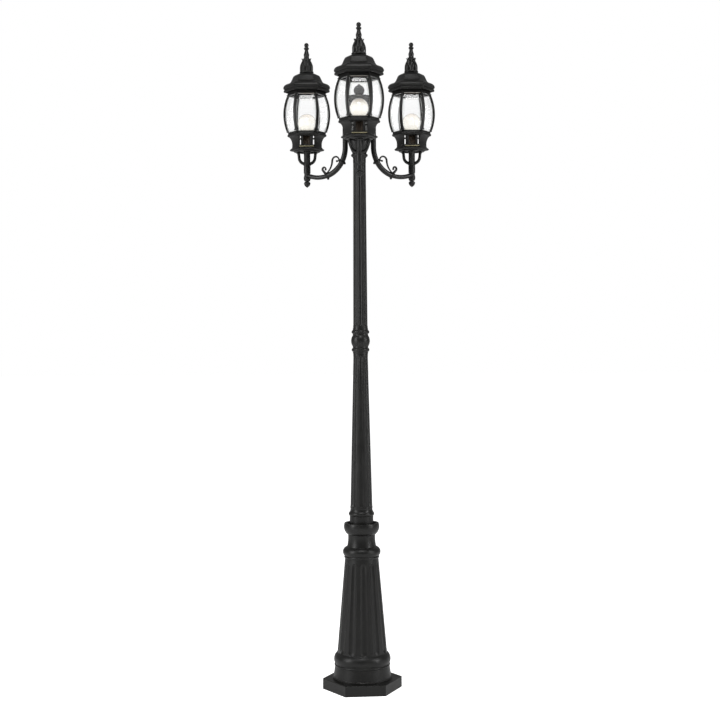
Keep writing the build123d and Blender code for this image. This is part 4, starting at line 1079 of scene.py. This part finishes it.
def makeBulbEnvelope():
    seam = bulbFoot + bulb["baseHeight"]
    start = math.radians(bulb["shoulder"])
    steps = 14

    def shell(inset):
        neck, radius = bulb["neck"] - inset, bulbRadius - inset
        points = [(neck, seam), (neck + 0.2, seam + bulb["neckLength"])]
        shoulder = (radius * math.cos(start), bulbCentre + bulbRadius * math.sin(start))
        points += arcPoints(points[-1], shoulder, bulb["shoulderBow"])
        for step in range(1, steps + 1):
            angle = start + (math.pi / 2 - start) * step / steps
            points.append((radius * math.cos(angle), bulbCentre + radius * math.sin(angle)))
        return points

    outline = shell(0) + shell(bulb["wall"])[::-1] + [(bulb["neck"], seam)]
    return smoothen(turned("bulbEnvelope", outline, 48), math.radians(50))


def makeBulbGlow():
    radius = bulbRadius * bulb["glow"]
    outline = [(0, bulbCentre - bulb["glowSag"] * radius)]
    for step in range(1, 12):
        angle = math.radians(-90 + 15 * step)
        height = radius * math.sin(angle) * (bulb["glowSag"] if angle < 0 else 1.0)
        outline.append((radius * math.cos(angle), bulbCentre + height))
    outline.append((0, bulbCentre + radius))
    return smoothen(turned("bulbGlow", outline, 32), math.radians(60))


def makeBulbBase():
    base, thread = bulb["base"], bulb["thread"]
    outline = drawOutline(bulb["button"], bulbFoot)
    for turn in range(bulb["turns"]):
        low = bulbFoot + bulb["threadFoot"] + bulb["pitch"] * turn
        outline += drawOutline([(base, 0.9), (base, 1.7), (base - thread, 3.0)], low)
    seam = bulb["baseHeight"]
    outline += drawOutline([(base, seam - 2.5), (bulb["neck"] - 0.4, seam), (0, seam)], bulbFoot)
    return smoothen(turned("bulbBase", outline, 40), math.radians(50))


setOut(makeBulbEnvelope(), "BulbEnvelope", "{}_bulb_body", "bulb_glass", bulbGlass, "bulb")
setOut(makeBulbGlow(), "BulbGlow", "{}_bulb_body", "bulb_glass", bulbGlow, "bulb")
setOut(makeBulbBase(), "BulbBase", "{}_bulb_body", "zinc_steel", brassShell, "bulb")
print("bulbs done")


# scroll on each arm, between two clasps; the arm bends round a centre inside it
scroll = {
    "bend": (154.0, 1858.0, 98.0),  # the bend's centre and radius
    "upper": (30.6, 9.2),  # turn round the bend, and the arm's radius there
    "lower": (75.0, 7.8),
    "clasp": 2.6,
    "claspHalf": 5.0,
    "gap": 0.15,
    "tip": (36.0, 19.0, 200.0),  # turn round the bend, rise from the arm and heading
    "bar": 2.0,
    "moves": [("bend", 6.0, -140, 1.4), ("bend", 14.0, -147, 1.7), ("bend", 55.0, 50, 1.25)],
    "hook": (78.0, 7.8, 47.0),
    "hookBar": 5.0,
    "hookMoves": [("run", 17.0, 0.8), ("bend", 6.5, 233, 0.58)],
    "ball": 3.4,
    "knob": 4.3,
}


# a point beside the arm's bend: a turn round it from the upright, and a rise inside its centre line
def armPoint(turn, rise):
    x, z, radius = scroll["bend"]
    angle = math.radians(turn)
    return (x - (radius - rise) * math.cos(angle), z - (radius - rise) * math.sin(angle))


def makeClasp(turn, bar):
    half, out, inner = scroll["claspHalf"], bar + scroll["clasp"], bar + scroll["gap"]
    collar = [
        (inner, -half),
        (out - 2.0, -half),
        (out - 0.6, -half + 1.6, 0.4),
        (out - 0.6, half - 1.6, 0.9),
        (out - 2.0, half, 0.4),
        (inner, half),
        (inner, -half),
    ]
    angle = math.radians(turn)
    collarPiece = turned("clasp", drawOutline(collar), 40)
    aimed(collarPiece, (math.sin(angle), -math.cos(angle)), armPoint(turn, 0))
    side = scroll["knob"]
    knob = [(0, -2.0), (side - 0.8, -2.0), (side, 0.6, 0.4), (side - 0.7, 3.0, 0.4), (0, 5.0, 1.3)]
    knobPiece = turned("claspKnob", drawOutline(knob), 24)
    aimed(knobPiece, (-math.cos(angle), -math.sin(angle)), armPoint(turn, -out + 1.2))
    return [collarPiece, knobPiece]


def makeBall(spot):
    ball = scroll["ball"]
    outline = drawOutline([(0, -ball), (ball, 0, 0.4 * ball), (0, ball, 0.4 * ball)])
    return aimed(turned("scrollBall", outline, 20), (0, 1), spot)


def makeScroll():
    parts = makeClasp(*scroll["upper"]) + makeClasp(*scroll["lower"])
    turn, rise, heading = scroll["tip"]
    start = armPoint(turn, rise)
    parts.append(bentBar("scrollBar", scroll["bar"], 12, start, heading, scroll["moves"]))
    parts.append(makeBall(start))
    turn, rise, heading = scroll["hook"]
    start = armPoint(turn, rise)
    parts.append(bentBar("scrollHook", scroll["hookBar"], 12, start, heading, scroll["hookMoves"]))
    # the hook's curl ends in a ball
    angle = math.radians(heading)
    length = scroll["hookMoves"][0][1]
    bend, curl = scroll["hookMoves"][1][1:3]
    centre = Vector(start) + Vector((math.cos(angle), math.sin(angle))) * length
    centre += Vector((-math.sin(angle), math.cos(angle))) * bend
    last = math.radians(heading + curl - 90)
    parts.append(makeBall((centre.x + bend * math.cos(last), centre.y + bend * math.sin(last))))
    return smoothen(joinAll(parts, "armScroll"), math.radians(45))


setOut(makeScroll(), "ArmScroll", "post", "black_cast", blackCast, "arm_scroll", distance=0)
print("scrolls done")


studio = {
    "cameraPlace": (-0.0014, -4.596, 1.2355),
    "lens": 67.0,
    "roll": -0.335,
    "shift": -0.0454,
    "floorSize": 60,
    "floorColour": (0.92, 0.92, 0.92, 1),
    "floorLift": 0.85,
    "floorGloss": 0.12,
    "floorRough": 0.9,
    "ambient": 0.32,
    "background": 1.0,
    "frontGloss": 0.04,
    "backGloss": 0.25,
    "glossTurn": (-0.2, 0.5),  # where reflections pass from the front to the back
    "lampAim": (0, 0, 1.3),
}
lamps = {
    "leftSoftbox": {"place": (-3.6, -1.9, 2.2), "size": (0.75, 3.0), "power": 92},
    "rightSoftbox": {"place": (3.7, -1.7, 2.2), "size": (0.75, 3.0), "power": 76},
    "topSoftbox": {"place": (0.0, -2.7, 5.0), "size": (2.0, 1.6), "power": 78},
}


def makeCamera():
    lens = bpy.data.cameras.new("camera")
    lens.lens = studio["lens"]
    lens.sensor_width = 36
    lens.shift_y = studio["shift"]
    camera = bpy.data.objects.new("camera", lens)
    bpy.context.scene.collection.objects.link(camera)
    level = Matrix.Rotation(math.radians(90), 4, "X")
    roll = Matrix.Rotation(math.radians(studio["roll"]), 4, "Z")
    camera.matrix_world = Matrix.Translation(studio["cameraPlace"]) @ level @ roll
    bpy.context.scene.camera = camera


def makeLamp(name, lamp):
    light = bpy.data.lights.new(name, "AREA")
    light.shape = "RECTANGLE"
    light.size, light.size_y = lamp["size"]
    light.energy = lamp["power"]
    holder = bpy.data.objects.new(name, light)
    holder.location = lamp["place"]
    ahead = Vector(studio["lampAim"]) - Vector(lamp["place"])
    holder.rotation_euler = ahead.to_track_quat("-Z", "Y").to_euler()
    bpy.context.scene.collection.objects.link(holder)


def makeFloor():
    deselectAll()
    bpy.ops.mesh.primitive_plane_add(size=studio["floorSize"], location=(0, 0, 0))
    floor = bpy.context.object
    floor.name = "floor"
    material, tree, shader = newMaterial("floorPaper")
    rays, straight = raysOf(tree)
    gloss = mathOf(tree, "MULTIPLY", rays["Is Glossy Ray"], studio["floorGloss"])
    tree.links.new(rangeOf(tree, straight, wanted=(gloss, studio["floorLift"])), shader["Emission Strength"])
    shader["Emission Color"].default_value = (1, 1, 1, 1)
    shader["Base Color"].default_value = studio["floorColour"]
    shader["Roughness"].default_value = studio["floorRough"]
    shader["Specular IOR Level"].default_value = 0.0
    floor.data.materials.append(material)


# reflections find the white backdrop behind the post and a dim room in front of it
def makeWorld():
    world = bpy.data.worlds.new("studio")
    bpy.context.scene.world = world
    world.use_nodes = True
    tree = world.node_tree
    rays, straight = raysOf(tree)
    place = addNode(tree, "ShaderNodeTexCoord").outputs["Generated"]
    depth = addNode(tree, "ShaderNodeSeparateXYZ", {0: place}).outputs["Y"]
    ends = (studio["frontGloss"], studio["backGloss"])
    gloss = rangeOf(tree, depth, studio["glossTurn"], ends, interpolation_type="SMOOTHSTEP")
    around = rangeOf(tree, rays["Is Glossy Ray"], wanted=(studio["ambient"], gloss))
    backing = tree.nodes["Background"].inputs
    tree.links.new(rangeOf(tree, straight, wanted=(around, studio["background"])), backing["Strength"])
    backing["Color"].default_value = (1, 1, 1, 1)


makeCamera()
for lampName, lamp in lamps.items():
    makeLamp(lampName, lamp)
makeFloor()
makeWorld()
bpy.context.scene.view_settings.view_transform = "Standard"
print("studio done")
